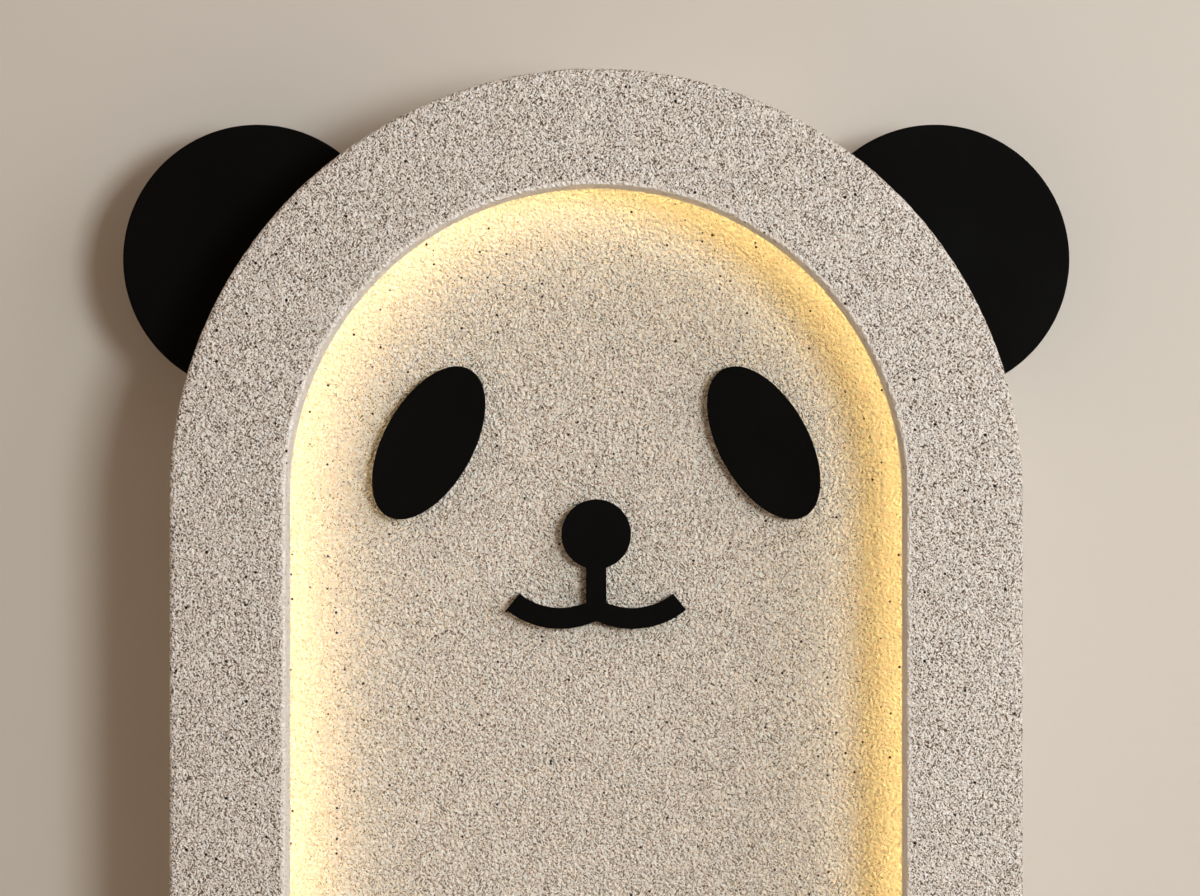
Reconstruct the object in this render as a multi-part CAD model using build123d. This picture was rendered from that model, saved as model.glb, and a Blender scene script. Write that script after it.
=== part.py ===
"""Panda wall lamp: an arched, stone-coated ring lit from behind its lip, with a panda's face in the recess.

The wall is the plane y = 0 and the lamp faces -Y. +X is to the right as seen from the room, +Z is up.
The origin is on the wall, midway between the bracket's two upper screw slots. A "level" is a distance
from the wall into the room, and an "inset" is a distance in from the body's outline.
"""

import os
from math import cos, radians, sin, sqrt, tan

from build123d import *

# ---------------------------------------------------------------- driving dimensions, in millimetres

# The body: an arch with a flat foot.
body_width = 240.0
body_height = 360.0
body_depth = 60.0  # from the wall to the front face
body_below_origin = 245.0
body_corner_radius = 14.0
wall_gap = 2.0  # under the frame's back edge, filled by the pads
cut_margin = 1.0  # how far a cut, or a root inside another form, runs on past a face

# The front frame: a moulded shell under a sprayed stone coat.
coat_thickness = 1.0
border_width = 33.0
recess_corner_radius = 8.0
side_thickness = 4.0
front_thickness = 6.0
lip_thickness = 4.0
lip_depth = 15.0  # from the front face back into the recess
outer_arris_radius = 1.6
inner_arris_radius = 1.2

# Pillars and gussets inside the frame.
pillar_radius = 5.0
pillar_weld = 0.5  # how far a pillar runs into the side wall
pillar_pilot_radius = 1.3
pillar_pilot_depth = 14.0
pillar_arch_angles = (8.0, 62.0, 118.0, 172.0)
pillar_side_height = 135.0  # above the body's foot
pillar_foot_offset = 75.0  # to each side of the middle
gusset_thickness = 2.5
gusset_reach = 11.0
gusset_rise = 23.0
gusset_arch_angles = (26.0, 44.0, 78.0, 102.0, 136.0, 154.0)
gusset_side_heights = (95.0, 185.0)

# Sheet-metal pan that closes the back.
pan_thickness = 1.0
pan_clearance = 0.5
pan_rim_short_of_edge = 0.5

# Wall bracket: a flat steel T with two folded tongues and a foot tab welded on.
bracket_thickness = 1.5
bracket_bar_length = 124.0
bracket_bar_height = 26.0
bracket_leg_width = 32.0
bracket_corner_radius = 3.0
bracket_bend_radius = 1.5  # at the middle of the sheet
slot_spacing = 90.0
slot_length = 12.0
wall_screw_hole_radius = 2.25
wall_screw_head_room = 4.5
lower_hole_height = 62.0  # above the body's foot
tongue_width = 18.0
tongue_spacing = 60.0
tongue_height = 8.0  # above the seat that the pan hangs on
tongue_root_height = 6.0  # where its strip starts, above the bar's middle
hang_clearance = 0.3
window_side_room = 2.4  # beside a tongue, in the pan's window
tab_width = 20.0
tab_root_length = 12.0  # where its strip starts, up the leg
tab_window_room = 3.0  # beside and above the tab, in the pan's window
tab_above_foot = 20.0
lift_travel = 8.3  # how far the lamp rises to clear the tongues

# Retaining screw under the lamp, with its brass insert.
retaining_radius = 2.0
retaining_head_radius = 4.0
retaining_head_height = 3.0
retaining_length = 22.0  # under the head
retaining_tip_chamfer = 0.8
retaining_tab_clearance = 0.4
counterbore_clearance = 0.5
counterbore_depth = 3.2
insert_radius = 3.2
insert_length = 7.0
insert_boss_wall = 2.8
insert_boss_gap = 0.5  # to the pan
thread_play = 0.05  # radial, between a thread and what it turns in

# Face panel and what carries it.
panel_inset = 16.0
panel_thickness = 2.0
panel_clearance = 1.0  # over the driver
stud_radius = 1.5
spacer_radius = 3.5
nut_across_flats = 5.5
nut_height = 2.4
stud_end = 0.4  # past the nut
stud_inset = 36.0
stud_arch_angles = (30.0, 150.0)
stud_side_heights = (49.0, 167.0)  # above the body's foot

# Ears: flat discs trimmed to the arch.
ear_radius = 38.9
ear_angle = 34.7  # of its middle, up from the horizontal through the arch's centre
ear_middle_inset = 1.0  # from the body's outline to the disc's middle
ear_thickness = 8.0
ear_back_level = 22.0
ear_arris_radius = 0.8
ear_seat_clearance = 0.1
ear_screw_spread = 10.0  # degrees to each side of the ear's middle
ear_screw_radius = 1.75
ear_screw_grip = 13.0
ear_screw_head_radius = 3.2
ear_screw_head_height = 2.2
ear_screw_seat_gap = 0.1  # under the middle of a head, on the hollow side of the wall

# Face: flat plates on adhesive pads.
feature_thickness = 4.0
feature_arris_radius = 0.4
pad_thickness = 1.0
pad_margin = 3.0
eye_half_width = 12.9
eye_half_height = 24.4
eye_tilt = 29.3
eye_offset = 48.6
eye_rise = 14.7  # above the arch's centre
nose_radius = 10.1
nose_drop = 11.8  # below the arch's centre
stem_width = 5.9
mouth_arc_radius = 21.85
mouth_arc_offset = 10.45
mouth_arc_drop = 14.4
mouth_band = 5.95
mouth_end_angle = 39.0  # outward from straight down

# LED channel, tape and phosphor line.
channel_outer_inset = 18.0
channel_width = 10.0
channel_height = 7.0
channel_wall = 1.2
channel_foot_height = 45.0  # where its legs end, above the body's foot
channel_screw_angles = (30.0, 90.0, 150.0)
channel_screw_heights = (70.0, 150.0)
channel_screw_radius = 1.4
channel_screw_head_radius = 2.7
channel_screw_grip = 4.0
tape_width = 7.2
tape_thickness = 0.3
phosphor_width = 4.0
phosphor_height = 1.2
phosphor_arris_radius = 0.9
cap_thickness = 2.0
cap_plug_depth = 3.0
cap_plug_clearance = 0.15

# LED driver.
driver_length = 112.0
driver_width = 30.0
driver_height = 11.0
driver_corner_radius = 3.0
driver_edge_radius = 1.0
driver_place = (22.0, -150.0)
driver_ear_length = 9.0
driver_ear_thickness = 2.0
small_screw_radius = 1.45
small_screw_head_radius = 2.9
small_screw_head_height = 2.0
small_screw_grip = 2.5  # past the sheet

# Mains terminal block.
terminal_length = 36.0
terminal_width = 17.0
terminal_height = 10.0
terminal_pole_pitch = 11.0
terminal_poles = 3
terminal_place = (-52.0, -106.0)
terminal_corner_radius = 1.0
terminal_screw_radius = 1.8
terminal_screw_height = 1.2
terminal_screw_slot = 0.7
terminal_well_play = 0.2
terminal_well_depth = 6.0
terminal_row_inset = 3.2  # from the block's long edges to the screws
terminal_floor = 2.0  # under the fixing screw's head
terminal_wire_radius = 1.7
terminal_wire_depth = 5.0

# Cable entry, its clamp and the earth stud.
cable_radius = 4.0
grommet_radius = 6.0
grommet_flange = 1.8
grommet_flange_thickness = 1.5
cable_entry_drop = 90.0  # below the origin
cable_hole_in_bracket = 8.0
clamp_length = 28.0
clamp_width = 8.0
clamp_foot_corner = 1.5
clamp_thickness = 1.6
clamp_arch_radius = 4.2
clamp_place = (-18.0, -74.0)
earth_place = (36.0, -96.0)
earth_radius = 2.0
earth_stud_length = 9.0
earth_flange_radius = 4.0
earth_flange_thickness = 1.0
ring_terminal_radius = 4.0
ring_terminal_thickness = 1.0
earth_nut_across_flats = 7.0
earth_nut_height = 3.2

# Frame screws and wall pads.
frame_screw_radius = 1.25
frame_screw_head_radius = 2.9
frame_screw_head_height = 2.2
frame_screw_grip = 10.0
screw_hole_clearance = 0.3
screw_crown_share = 0.4  # of a head's height, rounded over
wall_pad_length = 16.0
wall_pad_corner_radius = 1.6
wall_pad_heights = (45.0, 225.0)

# Leads inside the lamp, each as its route's X, level and Z.
lead_radius = 1.1
led_lead_radius = 1.3
lead_bend_share = 0.45  # of the shorter run, taken up by each bend
mains_lead_offset = 4.0  # of each mains lead from the middle of the driver's end

# ---------------------------------------------------------------- derived places and levels

arch_radius = body_width / 2
foot_z = -body_below_origin
arch_z = foot_z + body_height - arch_radius

shell_inset = coat_thickness
inner_wall_inset = coat_thickness + side_thickness
lip_inset = border_width - coat_thickness
lip_outer_inset = lip_inset - lip_thickness
shell_front_level = body_depth - coat_thickness
plate_back_level = shell_front_level - front_thickness
lip_back_level = body_depth - lip_depth

pan_back_level = bracket_thickness + wall_screw_head_room
pan_front_level = pan_back_level + pan_thickness
pan_inset = inner_wall_inset + pan_clearance
pillar_inset = inner_wall_inset + pillar_radius - pillar_weld
retaining_level = pan_front_level + insert_radius + insert_boss_wall + insert_boss_gap

panel_back_level = pan_front_level + driver_height + panel_clearance
panel_front_level = panel_back_level + panel_thickness
face_level = panel_front_level + coat_thickness
feature_back_level = face_level + pad_thickness
feature_front_level = feature_back_level + feature_thickness

tongue_level = pan_front_level + hang_clearance + bracket_thickness
tongue_seat_z = bracket_bar_height / 2 + bracket_thickness
window_top_z = tongue_seat_z + hang_clearance
window_foot_z = tongue_seat_z - bracket_thickness - lift_travel - hang_clearance
tab_z = foot_z + tab_above_foot

channel_inset = channel_outer_inset + channel_width / 2
channel_open_level = plate_back_level - channel_height
channel_floor_level = plate_back_level - channel_wall
channel_foot_z = foot_z + channel_foot_height

cap_plug_top_level = channel_floor_level - tape_thickness - phosphor_height - cap_plug_clearance
cap_hole_level = (channel_open_level + cap_plug_top_level) / 2

terminal_top_level = pan_front_level + terminal_height
terminal_well_level = terminal_top_level - terminal_well_depth
terminal_wire_level = terminal_well_level - lead_radius
driver_lead_level = pan_front_level + driver_height / 2

ear_mid_level = ear_back_level + ear_thickness / 2
sides = (-1, 1)


# ---------------------------------------------------------------- shared shapes


def corner_at(inset):
    """Foot corner radius at an inset: it eases from the body's corner to the recess's."""
    share = inset / border_width
    return body_corner_radius + (recess_corner_radius - body_corner_radius) * share


def arch(inset):
    """The body's outline as a flat face, drawn in by an inset."""
    half = arch_radius - inset
    foot = foot_z + inset
    legs = Polyline((half, arch_z), (half, foot), (-half, foot), (-half, arch_z))
    crown = CenterArc((0, arch_z), half, 0, 180)
    face = make_face([*legs.edges(), crown])
    return fillet(face.vertices().group_by(Axis.Y)[0], corner_at(inset))


def slab(face, low, high):
    """A flat face, drawn as seen from the room, made solid between two levels."""
    return extrude(Plane.XZ.offset(low) * face, amount=high - low)


def ring(outer_inset, inner_inset, low, high):
    """The band between two insets, made solid between two levels."""
    return slab(arch(outer_inset) - arch(inner_inset), low, high)


def point(x, level, z):
    """A point given by its level instead of its y."""
    return Vector(x, -level, z)


def rod(start, end, radius):
    """A cylinder between two points."""
    along = end - start
    return extrude(Plane(origin=start, z_dir=along) * Circle(radius), amount=along.length)


def screw(seat, direction, radius, grip, head_radius, head_height):
    """A pan-head screw: its head rests on the seat and its shank runs along the direction."""
    way = direction.normalized()
    head = rod(seat, seat - way * head_height, head_radius)
    crown = head.edges().filter_by(GeomType.CIRCLE).sort_by_distance(seat - way * head_height)[0]
    return fillet(crown, head_height * screw_crown_share) + rod(seat, seat + way * grip, radius)


def hex_nut(seat, direction, across_flats, height, bore_radius):
    """A hexagonal nut standing on its seat."""
    place = Plane(origin=seat, z_dir=direction)
    outline = RegularPolygon(across_flats / 2, 6, major_radius=False) - Circle(bore_radius)
    return extrude(place * outline, amount=height)


def on_arch(angle, inset):
    """X and Z of a point on the arched part of the outline, by its angle from +X."""
    reach = arch_radius - inset
    return reach * cos(radians(angle)), arch_z + reach * sin(radians(angle))


def outward(angle):
    """The direction away from the arch's centre, by its angle from +X."""
    return Vector(cos(radians(angle)), 0, sin(radians(angle)))


def along_sides(heights, inset):
    """X and Z of points on both straight sides, by their heights above the foot."""
    return [(side * (arch_radius - inset), foot_z + h) for h in heights for side in sides]


def folded_strip(points, width, x):
    """A strip of the bracket's sheet, bent along level and Z points at its middle surface."""
    path = FilletPolyline(*[point(x, level, z) for level, z in points], radius=bracket_bend_radius)
    start = Plane(origin=path @ 0, z_dir=path % 0, x_dir=(1, 0, 0))
    return sweep(start * Rectangle(width, bracket_thickness), path=path)


# ---------------------------------------------------------------- places that several pieces share

pillar_places = [on_arch(a, pillar_inset) for a in pillar_arch_angles]
pillar_places += along_sides([pillar_side_height], pillar_inset)
pillar_places += [(side * pillar_foot_offset, foot_z + pillar_inset) for side in sides]

panel_places = [on_arch(a, stud_inset) for a in stud_arch_angles]
panel_places += along_sides(stud_side_heights, stud_inset)

channel_screw_places = [on_arch(a, channel_inset) for a in channel_screw_angles]
channel_screw_places += along_sides(channel_screw_heights, channel_inset)


def ear_screw_lines():
    """Each ear screw's seat on the frame's inner wall, with its outward direction."""
    lines = []
    for middle in (ear_angle, 180 - ear_angle):
        for angle in (middle - ear_screw_spread, middle + ear_screw_spread):
            x, z = on_arch(angle, inner_wall_inset + ear_screw_seat_gap)
            lines.append((point(x, ear_mid_level, z), outward(angle)))
    return lines


# ---------------------------------------------------------------- wall bracket and retaining screw


def wall_bracket():
    """A steel T with slots for the wall screws; two tongues to hang on and a foot tab are welded to it."""
    t = bracket_thickness
    bar = RectangleRounded(bracket_bar_length, bracket_bar_height, bracket_corner_radius)
    plate = bar + Pos(0, tab_z / 2) * Rectangle(bracket_leg_width, -tab_z)
    plate -= Pos(0, -cable_entry_drop) * Circle(cable_hole_in_bracket)
    plate -= Pos(0, foot_z + lower_hole_height) * Circle(wall_screw_hole_radius)
    for side in sides:
        plate -= Pos(side * slot_spacing / 2, 0) * SlotOverall(slot_length, 2 * wall_screw_hole_radius)
    root = 1.5 * t
    seat = tongue_seat_z - t / 2
    front = tongue_level - t / 2
    tongue = [(root, tongue_root_height), (root, seat), (front, seat), (front, tongue_seat_z + tongue_height)]
    tongues = [folded_strip(tongue, tongue_width, side * tongue_spacing / 2) for side in sides]
    hole_radius = retaining_radius + retaining_tab_clearance
    reach = retaining_level + hole_radius + t
    tab_points = [(root, tab_z + tab_root_length), (root, tab_z + t / 2), (reach, tab_z + t / 2)]
    low = point(0, retaining_level, tab_z - cut_margin)
    hole = rod(low, low + Vector(0, 0, t + 2 * cut_margin), hole_radius)
    return [slab(plate, 0, t), *tongues, folded_strip(tab_points, tab_width, 0) - hole]


def retaining_screw():
    """The screw that comes up through the lamp's foot into the bracket's tab."""
    seat = point(0, retaining_level, foot_z + counterbore_depth)
    head = (retaining_head_radius, retaining_head_height)
    shape = screw(seat, Vector(0, 0, 1), retaining_radius, retaining_length, *head)
    tip = shape.edges().filter_by(GeomType.CIRCLE).sort_by(Axis.Z)[-1]
    return chamfer(tip, retaining_tip_chamfer)


def screw_insert():
    """The brass insert that the retaining screw turns in."""
    low = point(0, retaining_level, foot_z + counterbore_depth)
    high = low + Vector(0, 0, insert_length)
    return rod(low, high, insert_radius) - rod(low, high, retaining_radius + thread_play)


# ---------------------------------------------------------------- front frame


def foot_opening():
    """What the retaining screw's head and insert take out of the frame's foot."""
    low = point(0, retaining_level, foot_z - coat_thickness)
    seat = point(0, retaining_level, foot_z + counterbore_depth)
    head = rod(low, seat, retaining_head_radius + counterbore_clearance)
    return head + rod(seat, seat + Vector(0, 0, insert_length), insert_radius)


def ear_screw_holes():
    """Clearance holes for the ear screws, through the frame's side."""
    radius = ear_screw_radius + thread_play
    reach = inner_wall_inset + cut_margin
    return [rod(seat - way, seat + way * reach, radius) for seat, way in ear_screw_lines()]


def gusset(x, z, angle):
    """A triangular rib from the side wall to the front plate, at a place on the wall's inner face."""
    way = outward(angle)
    place = Plane(origin=point(x, plate_back_level, z), x_dir=way * -1, z_dir=Vector(0, 1, 0).cross(way))
    root = -side_thickness / 2
    outline = Polyline((root, root), (gusset_reach, root), (root, gusset_rise), close=True)
    return extrude(place * make_face(outline), amount=gusset_thickness / 2, both=True)


def frame_shell():
    """The moulded shell: side wall, front plate, lip, pillars, gussets and the boss for the insert."""
    body = slab(arch(shell_inset), wall_gap, shell_front_level)
    body -= slab(arch(inner_wall_inset), wall_gap, plate_back_level)
    body -= slab(arch(lip_inset), plate_back_level, shell_front_level)
    body += ring(lip_outer_inset, lip_inset, lip_back_level, plate_back_level)
    for x, z in pillar_places:
        top = point(x, plate_back_level + cut_margin, z)
        body += rod(point(x, pan_front_level, z), top, pillar_radius)
    for angle in gusset_arch_angles:
        body += gusset(*on_arch(angle, inner_wall_inset), angle)
    for x, z in along_sides(gusset_side_heights, inner_wall_inset):
        body += gusset(x, z, 0 if x > 0 else 180)
    boss_low = point(0, retaining_level, foot_z + shell_inset)
    boss_high = point(0, retaining_level, foot_z + counterbore_depth + insert_length)
    body += rod(boss_low, boss_high, insert_radius + insert_boss_wall)
    body -= foot_opening()
    for x, z in pillar_places:
        end = point(x, pan_front_level + pillar_pilot_depth, z)
        body -= rod(point(x, pan_front_level, z), end, pillar_pilot_radius)
    for x, z in channel_screw_places:
        end = point(x, plate_back_level + channel_screw_grip, z)
        body -= rod(point(x, plate_back_level, z), end, channel_screw_radius + thread_play)
    return body - ear_screw_holes()


def frame_coat():
    """The sprayed stone coat over the frame's side, front and lip."""
    body = slab(arch(0), wall_gap, body_depth) - slab(arch(shell_inset), wall_gap, shell_front_level)
    body -= slab(arch(border_width), shell_front_level, body_depth)
    body += ring(lip_inset, border_width, lip_back_level, shell_front_level)
    rims = body.faces().sort_by(Axis.Y)[0]
    body = fillet(rims.outer_wire().edges(), outer_arris_radius)
    front = body.faces().sort_by(Axis.Y)[0]
    body = fillet(front.inner_wires()[0].edges(), inner_arris_radius)
    return body - foot_opening() - ear_screw_holes()


def wall_pads():
    """Rubber pads on the frame's back edge that keep it off the wall."""
    width = inner_wall_inset - shell_inset
    outline = RectangleRounded(width, wall_pad_length, wall_pad_corner_radius)
    places = along_sides(wall_pad_heights, shell_inset + width / 2)
    return [slab(Pos(x, z) * outline, 0, wall_gap) for x, z in places]


def frame_screws():
    """The screws that hold the pan to the frame's pillars."""
    seats = [point(x, pan_back_level, z) for x, z in pillar_places]
    reach = pan_thickness + frame_screw_grip
    head = (frame_screw_head_radius, frame_screw_head_height)
    return [screw(seat, Vector(0, -1, 0), frame_screw_radius, reach, *head) for seat in seats]


# ---------------------------------------------------------------- back pan


def back_pan():
    """The folded steel pan: windows for the tongues and the tab, and holes for all that it carries."""
    rim_level = wall_gap + pan_rim_short_of_edge
    body = slab(arch(pan_inset), rim_level, pan_front_level)
    body -= slab(arch(pan_inset + pan_thickness), rim_level, pan_back_level)
    window = Rectangle(tongue_width + 2 * window_side_room, window_top_z - window_foot_z)
    window_z = (window_top_z + window_foot_z) / 2
    holes = [Pos(side * tongue_spacing / 2, window_z) * window for side in sides]
    tab_top = tab_z + bracket_thickness + tab_window_room
    tab_low = tab_z - lift_travel - hang_clearance
    tab_window = Rectangle(tab_width + 2 * tab_window_room, tab_top - tab_low)
    holes.append(Pos(0, (tab_top + tab_low) / 2) * tab_window)
    holes.append(Pos(0, -cable_entry_drop) * Circle(grommet_radius))
    holes += [Pos(x, z) * Circle(frame_screw_radius + screw_hole_clearance) for x, z in pillar_places]
    holes += [Pos(x, z) * Circle(stud_radius + screw_hole_clearance) for x, z in panel_places]
    holes += [Pos(x, z) * Circle(small_screw_radius + thread_play) for x, z in small_screw_places()]
    holes.append(Pos(*earth_place) * Circle(earth_radius + thread_play))
    return body - [slab(hole, rim_level, pan_front_level) for hole in holes]


# ---------------------------------------------------------------- face panel


def face_panel():
    """The flat panel at the bottom of the recess."""
    return slab(arch(panel_inset), panel_back_level, panel_front_level)


def panel_coat():
    """The stone coat on the face panel."""
    return slab(arch(panel_inset), panel_front_level, face_level)


def panel_studs():
    """Studs welded to the panel's back."""
    end = pan_back_level - nut_height - stud_end
    return [rod(point(x, panel_back_level, z), point(x, end, z), stud_radius) for x, z in panel_places]


def panel_spacers():
    """Spacer tubes that hold the panel off the pan."""
    outline = Circle(spacer_radius) - Circle(stud_radius + thread_play)
    return [slab(Pos(x, z) * outline, pan_front_level, panel_back_level) for x, z in panel_places]


def panel_nuts():
    """Nuts behind the pan, on the panel's studs."""
    seats = [point(x, pan_back_level, z) for x, z in panel_places]
    nut = (nut_across_flats, nut_height, stud_radius + thread_play)
    return [hex_nut(seat, Vector(0, 1, 0), *nut) for seat in seats]


# ---------------------------------------------------------------- ears


def ear(side):
    """A flat disc, trimmed to sit against the arch."""
    x, z = on_arch(ear_angle, ear_middle_inset)
    seat = Pos(0, arch_z) * Circle(arch_radius + ear_seat_clearance)
    outline = Pos(side * x, z) * Circle(ear_radius) - seat
    body = slab(outline, ear_back_level, ear_back_level + ear_thickness)
    rims = body.faces().filter_by(Axis.Y).edges().filter_by(GeomType.CIRCLE)
    rims = [edge for edge in rims if abs(edge.radius - ear_radius) < ear_seat_clearance]
    body = fillet(rims, ear_arris_radius)
    reach = inner_wall_inset + ear_screw_grip + ear_seat_clearance
    for seat, way in ear_screw_lines():
        body -= rod(seat, seat + way * reach, ear_screw_radius + thread_play)
    return body


def ear_screws():
    """Screws from inside the frame into the ears' edges."""
    reach = inner_wall_inset + ear_screw_grip
    head = (ear_screw_head_radius, ear_screw_head_height)
    return [screw(seat, way, ear_screw_radius, reach, *head) for seat, way in ear_screw_lines()]


# ---------------------------------------------------------------- face features


def eye_outline(side, margin=0.0):
    """An eye patch: an ellipse whose top leans towards the middle."""
    place = Pos(side * eye_offset, arch_z + eye_rise) * Rot(0, 0, side * eye_tilt)
    return place * Ellipse(eye_half_width - margin, eye_half_height - margin)


def mouth_side(side):
    """One half of the mouth: a band of a circle from the middle to its square end."""
    centre = Pos(side * mouth_arc_offset, arch_z - mouth_arc_drop)
    outer = mouth_arc_radius + mouth_band / 2
    inner = mouth_arc_radius - mouth_band / 2
    reach = 2 * outer
    end = radians(mouth_end_angle)
    far = (side * reach * sin(end), -reach * cos(end))
    near_x = -side * mouth_arc_offset
    wedge = make_face(Polyline((0, 0), far, (near_x, -reach), (near_x, 0), close=True))
    return centre * ((Circle(outer) - Circle(inner)) & wedge)


def nose_mouth_outline():
    """Nose, stem and mouth in one outline."""
    nose_z = arch_z - nose_drop
    stem_foot = arch_z - mouth_arc_drop - sqrt(mouth_arc_radius**2 - mouth_arc_offset**2)
    nose = Pos(0, nose_z) * Circle(nose_radius)
    stem = Pos(0, (nose_z + stem_foot) / 2) * Rectangle(stem_width, nose_z - stem_foot)
    return nose + stem + mouth_side(-1) + mouth_side(1)


def feature_plate(outline):
    """A face feature cut from flat sheet, with its front edge eased."""
    body = slab(outline, feature_back_level, feature_front_level)
    return fillet(body.faces().sort_by(Axis.Y)[0].edges(), feature_arris_radius)


def feature_pads():
    """Adhesive pads behind the eyes, the nose and the mouth."""
    outlines = [eye_outline(side, pad_margin) for side in sides]
    outlines.append(Pos(0, arch_z - nose_drop) * Circle(nose_radius - pad_margin))
    mouth_pad = Circle(mouth_band / 2 - feature_arris_radius)
    drop = mouth_arc_drop + mouth_arc_radius
    outlines += [Pos(side * mouth_arc_offset, arch_z - drop) * mouth_pad for side in sides]
    return [slab(outline, face_level, feature_back_level) for outline in outlines]


# ---------------------------------------------------------------- LED light line


def above_foot(shape):
    """What of a shape lies above the channel's foot."""
    keep = Pos(0, 0, channel_foot_z + body_height) * Box(2 * body_width, 4 * body_depth, 2 * body_height)
    return shape & keep


def light_line(width, low, high):
    """A band along the middle of the LED channel, up one side, over the arch and down the other."""
    return above_foot(ring(channel_inset - width / 2, channel_inset + width / 2, low, high))


def channel_screw(x, z, play=0.0):
    """A countersunk screw through the channel's floor into the front plate."""
    head = Plane.XZ.offset(channel_floor_level) * Pos(x, z) * Circle(channel_screw_head_radius + play)
    neck = Plane.XZ.offset(plate_back_level) * Pos(x, z) * Circle(channel_screw_radius + play)
    end = plate_back_level + channel_screw_grip - 2 * thread_play
    shank = rod(point(x, plate_back_level, z), point(x, end, z), channel_screw_radius + play)
    return loft([head.face(), neck.face()]) + shank


def led_channel():
    """The aluminium channel behind the lip, open towards the wall."""
    body = light_line(channel_width, channel_open_level, plate_back_level)
    body -= light_line(channel_width - 2 * channel_wall, channel_open_level, channel_floor_level)
    return body - [channel_screw(x, z, thread_play) for x, z in channel_screw_places]


def channel_screws():
    """Countersunk screws under the tape."""
    return [channel_screw(x, z) for x, z in channel_screw_places]


def led_tape():
    """The flexible circuit stuck to the channel's floor."""
    return light_line(tape_width, channel_floor_level - tape_thickness, channel_floor_level)


def led_phosphor():
    """The continuous phosphor bead on the tape."""
    high = channel_floor_level - tape_thickness
    body = light_line(phosphor_width, high - phosphor_height, high)
    back = body.faces().sort_by(Axis.Y)[-1]
    arrises = back.edges().sort_by(SortBy.LENGTH)[2:]  # without those at its two feet
    return fillet(arrises, phosphor_arris_radius)


def led_end_cap(side):
    """A moulded cap that plugs one foot of the channel, with a hole for the lead."""
    x = side * (arch_radius - channel_inset)
    mid_level = (channel_open_level + plate_back_level) / 2
    plate = Pos(x, -mid_level, channel_foot_z - cap_thickness / 2)
    plate *= Box(channel_width, channel_height, cap_thickness)
    plug_width = channel_width - 2 * channel_wall - 2 * cap_plug_clearance
    plug_height = cap_plug_top_level - channel_open_level
    plug = Pos(x, -(channel_open_level + plug_height / 2), channel_foot_z + cap_plug_depth / 2)
    plug *= Box(plug_width, plug_height, cap_plug_depth)
    low = point(x, cap_hole_level, channel_foot_z - 2 * cap_thickness)
    high = point(x, cap_hole_level, channel_foot_z + 2 * cap_plug_depth)
    return plate + plug - rod(low, high, led_lead_radius + thread_play)


# ---------------------------------------------------------------- electrical gear on the pan


def driver_ear_places():
    """The two screw places at the driver's ends."""
    x, z = driver_place
    reach = driver_length / 2 - driver_ear_length / 2
    return [(x + side * reach, z) for side in sides]


def small_screw_places():
    """Every small screw that holds electrical gear to the pan."""
    clamp_x, clamp_z = clamp_place
    reach = clamp_length / 2 - clamp_width / 2
    feet = [(clamp_x, clamp_z + side * reach) for side in sides]
    return [*driver_ear_places(), terminal_place, *feet]


def led_driver():
    """The slim driver: a rounded case with a thin screw ear at each end."""
    x, z = driver_place
    case_length = driver_length - 2 * driver_ear_length
    case = slab(
        Pos(x, z) * RectangleRounded(case_length, driver_width, driver_corner_radius),
        pan_front_level,
        pan_front_level + driver_height,
    )
    case = fillet(case.faces().sort_by(Axis.Y)[0].edges(), driver_edge_radius)
    ears = slab(
        Pos(x, z) * RectangleRounded(driver_length, driver_width / 2, driver_corner_radius),
        pan_front_level,
        pan_front_level + driver_ear_thickness,
    )
    holes = [
        slab(Pos(*place) * Circle(small_screw_radius + screw_hole_clearance), 0, body_depth)
        for place in driver_ear_places()
    ]
    return case + ears - holes


def driver_screws():
    """Screws through the driver's ears into the pan."""
    seat_level = pan_front_level + driver_ear_thickness
    return [gear_screw(x, z, seat_level) for x, z in driver_ear_places()]


def gear_screw(x, z, seat_level):
    """A small pan-head screw that points at the wall and bites in the pan."""
    grip = seat_level - pan_back_level + small_screw_grip - pan_thickness
    return screw(
        point(x, seat_level, z),
        Vector(0, 1, 0),
        small_screw_radius,
        grip,
        small_screw_head_radius,
        small_screw_head_height,
    )


def terminal_pole_offsets():
    """Where the terminal block's poles lie along it, from its middle."""
    return [(i - (terminal_poles - 1) / 2) * terminal_pole_pitch for i in range(terminal_poles)]


def terminal_block():
    """The mains terminal block: clamp-screw wells over wire holes, and a well for its fixing screw."""
    x, z = terminal_place
    body = slab(
        Pos(x, z) * RectangleRounded(terminal_length, terminal_width, terminal_corner_radius),
        pan_front_level,
        terminal_top_level,
    )
    fixing_hole = Pos(x, z) * Circle(small_screw_radius + screw_hole_clearance)
    body -= slab(fixing_hole, pan_front_level, terminal_top_level)
    fixing_well = Pos(x, z) * Circle(small_screw_head_radius + screw_hole_clearance)
    body -= slab(fixing_well, pan_front_level + terminal_floor, terminal_top_level)
    for well_x, well_z in terminal_screw_places():
        well = Pos(well_x, well_z) * Circle(terminal_screw_radius + terminal_well_play)
        body -= slab(well, terminal_well_level, terminal_top_level)
    for offset in terminal_pole_offsets():
        for side in sides:
            edge = point(x + offset, terminal_wire_level, z + side * terminal_width / 2)
            mouth = edge + Vector(0, 0, side * cut_margin)
            inner = edge - Vector(0, 0, side * terminal_wire_depth)
            body -= rod(mouth, inner, terminal_wire_radius)
    return body


def terminal_screw_places():
    """One clamp screw on each side of each pole."""
    x, z = terminal_place
    row = terminal_width / 2 - terminal_row_inset
    return [(x + offset, z + side * row) for offset in terminal_pole_offsets() for side in sides]


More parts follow.
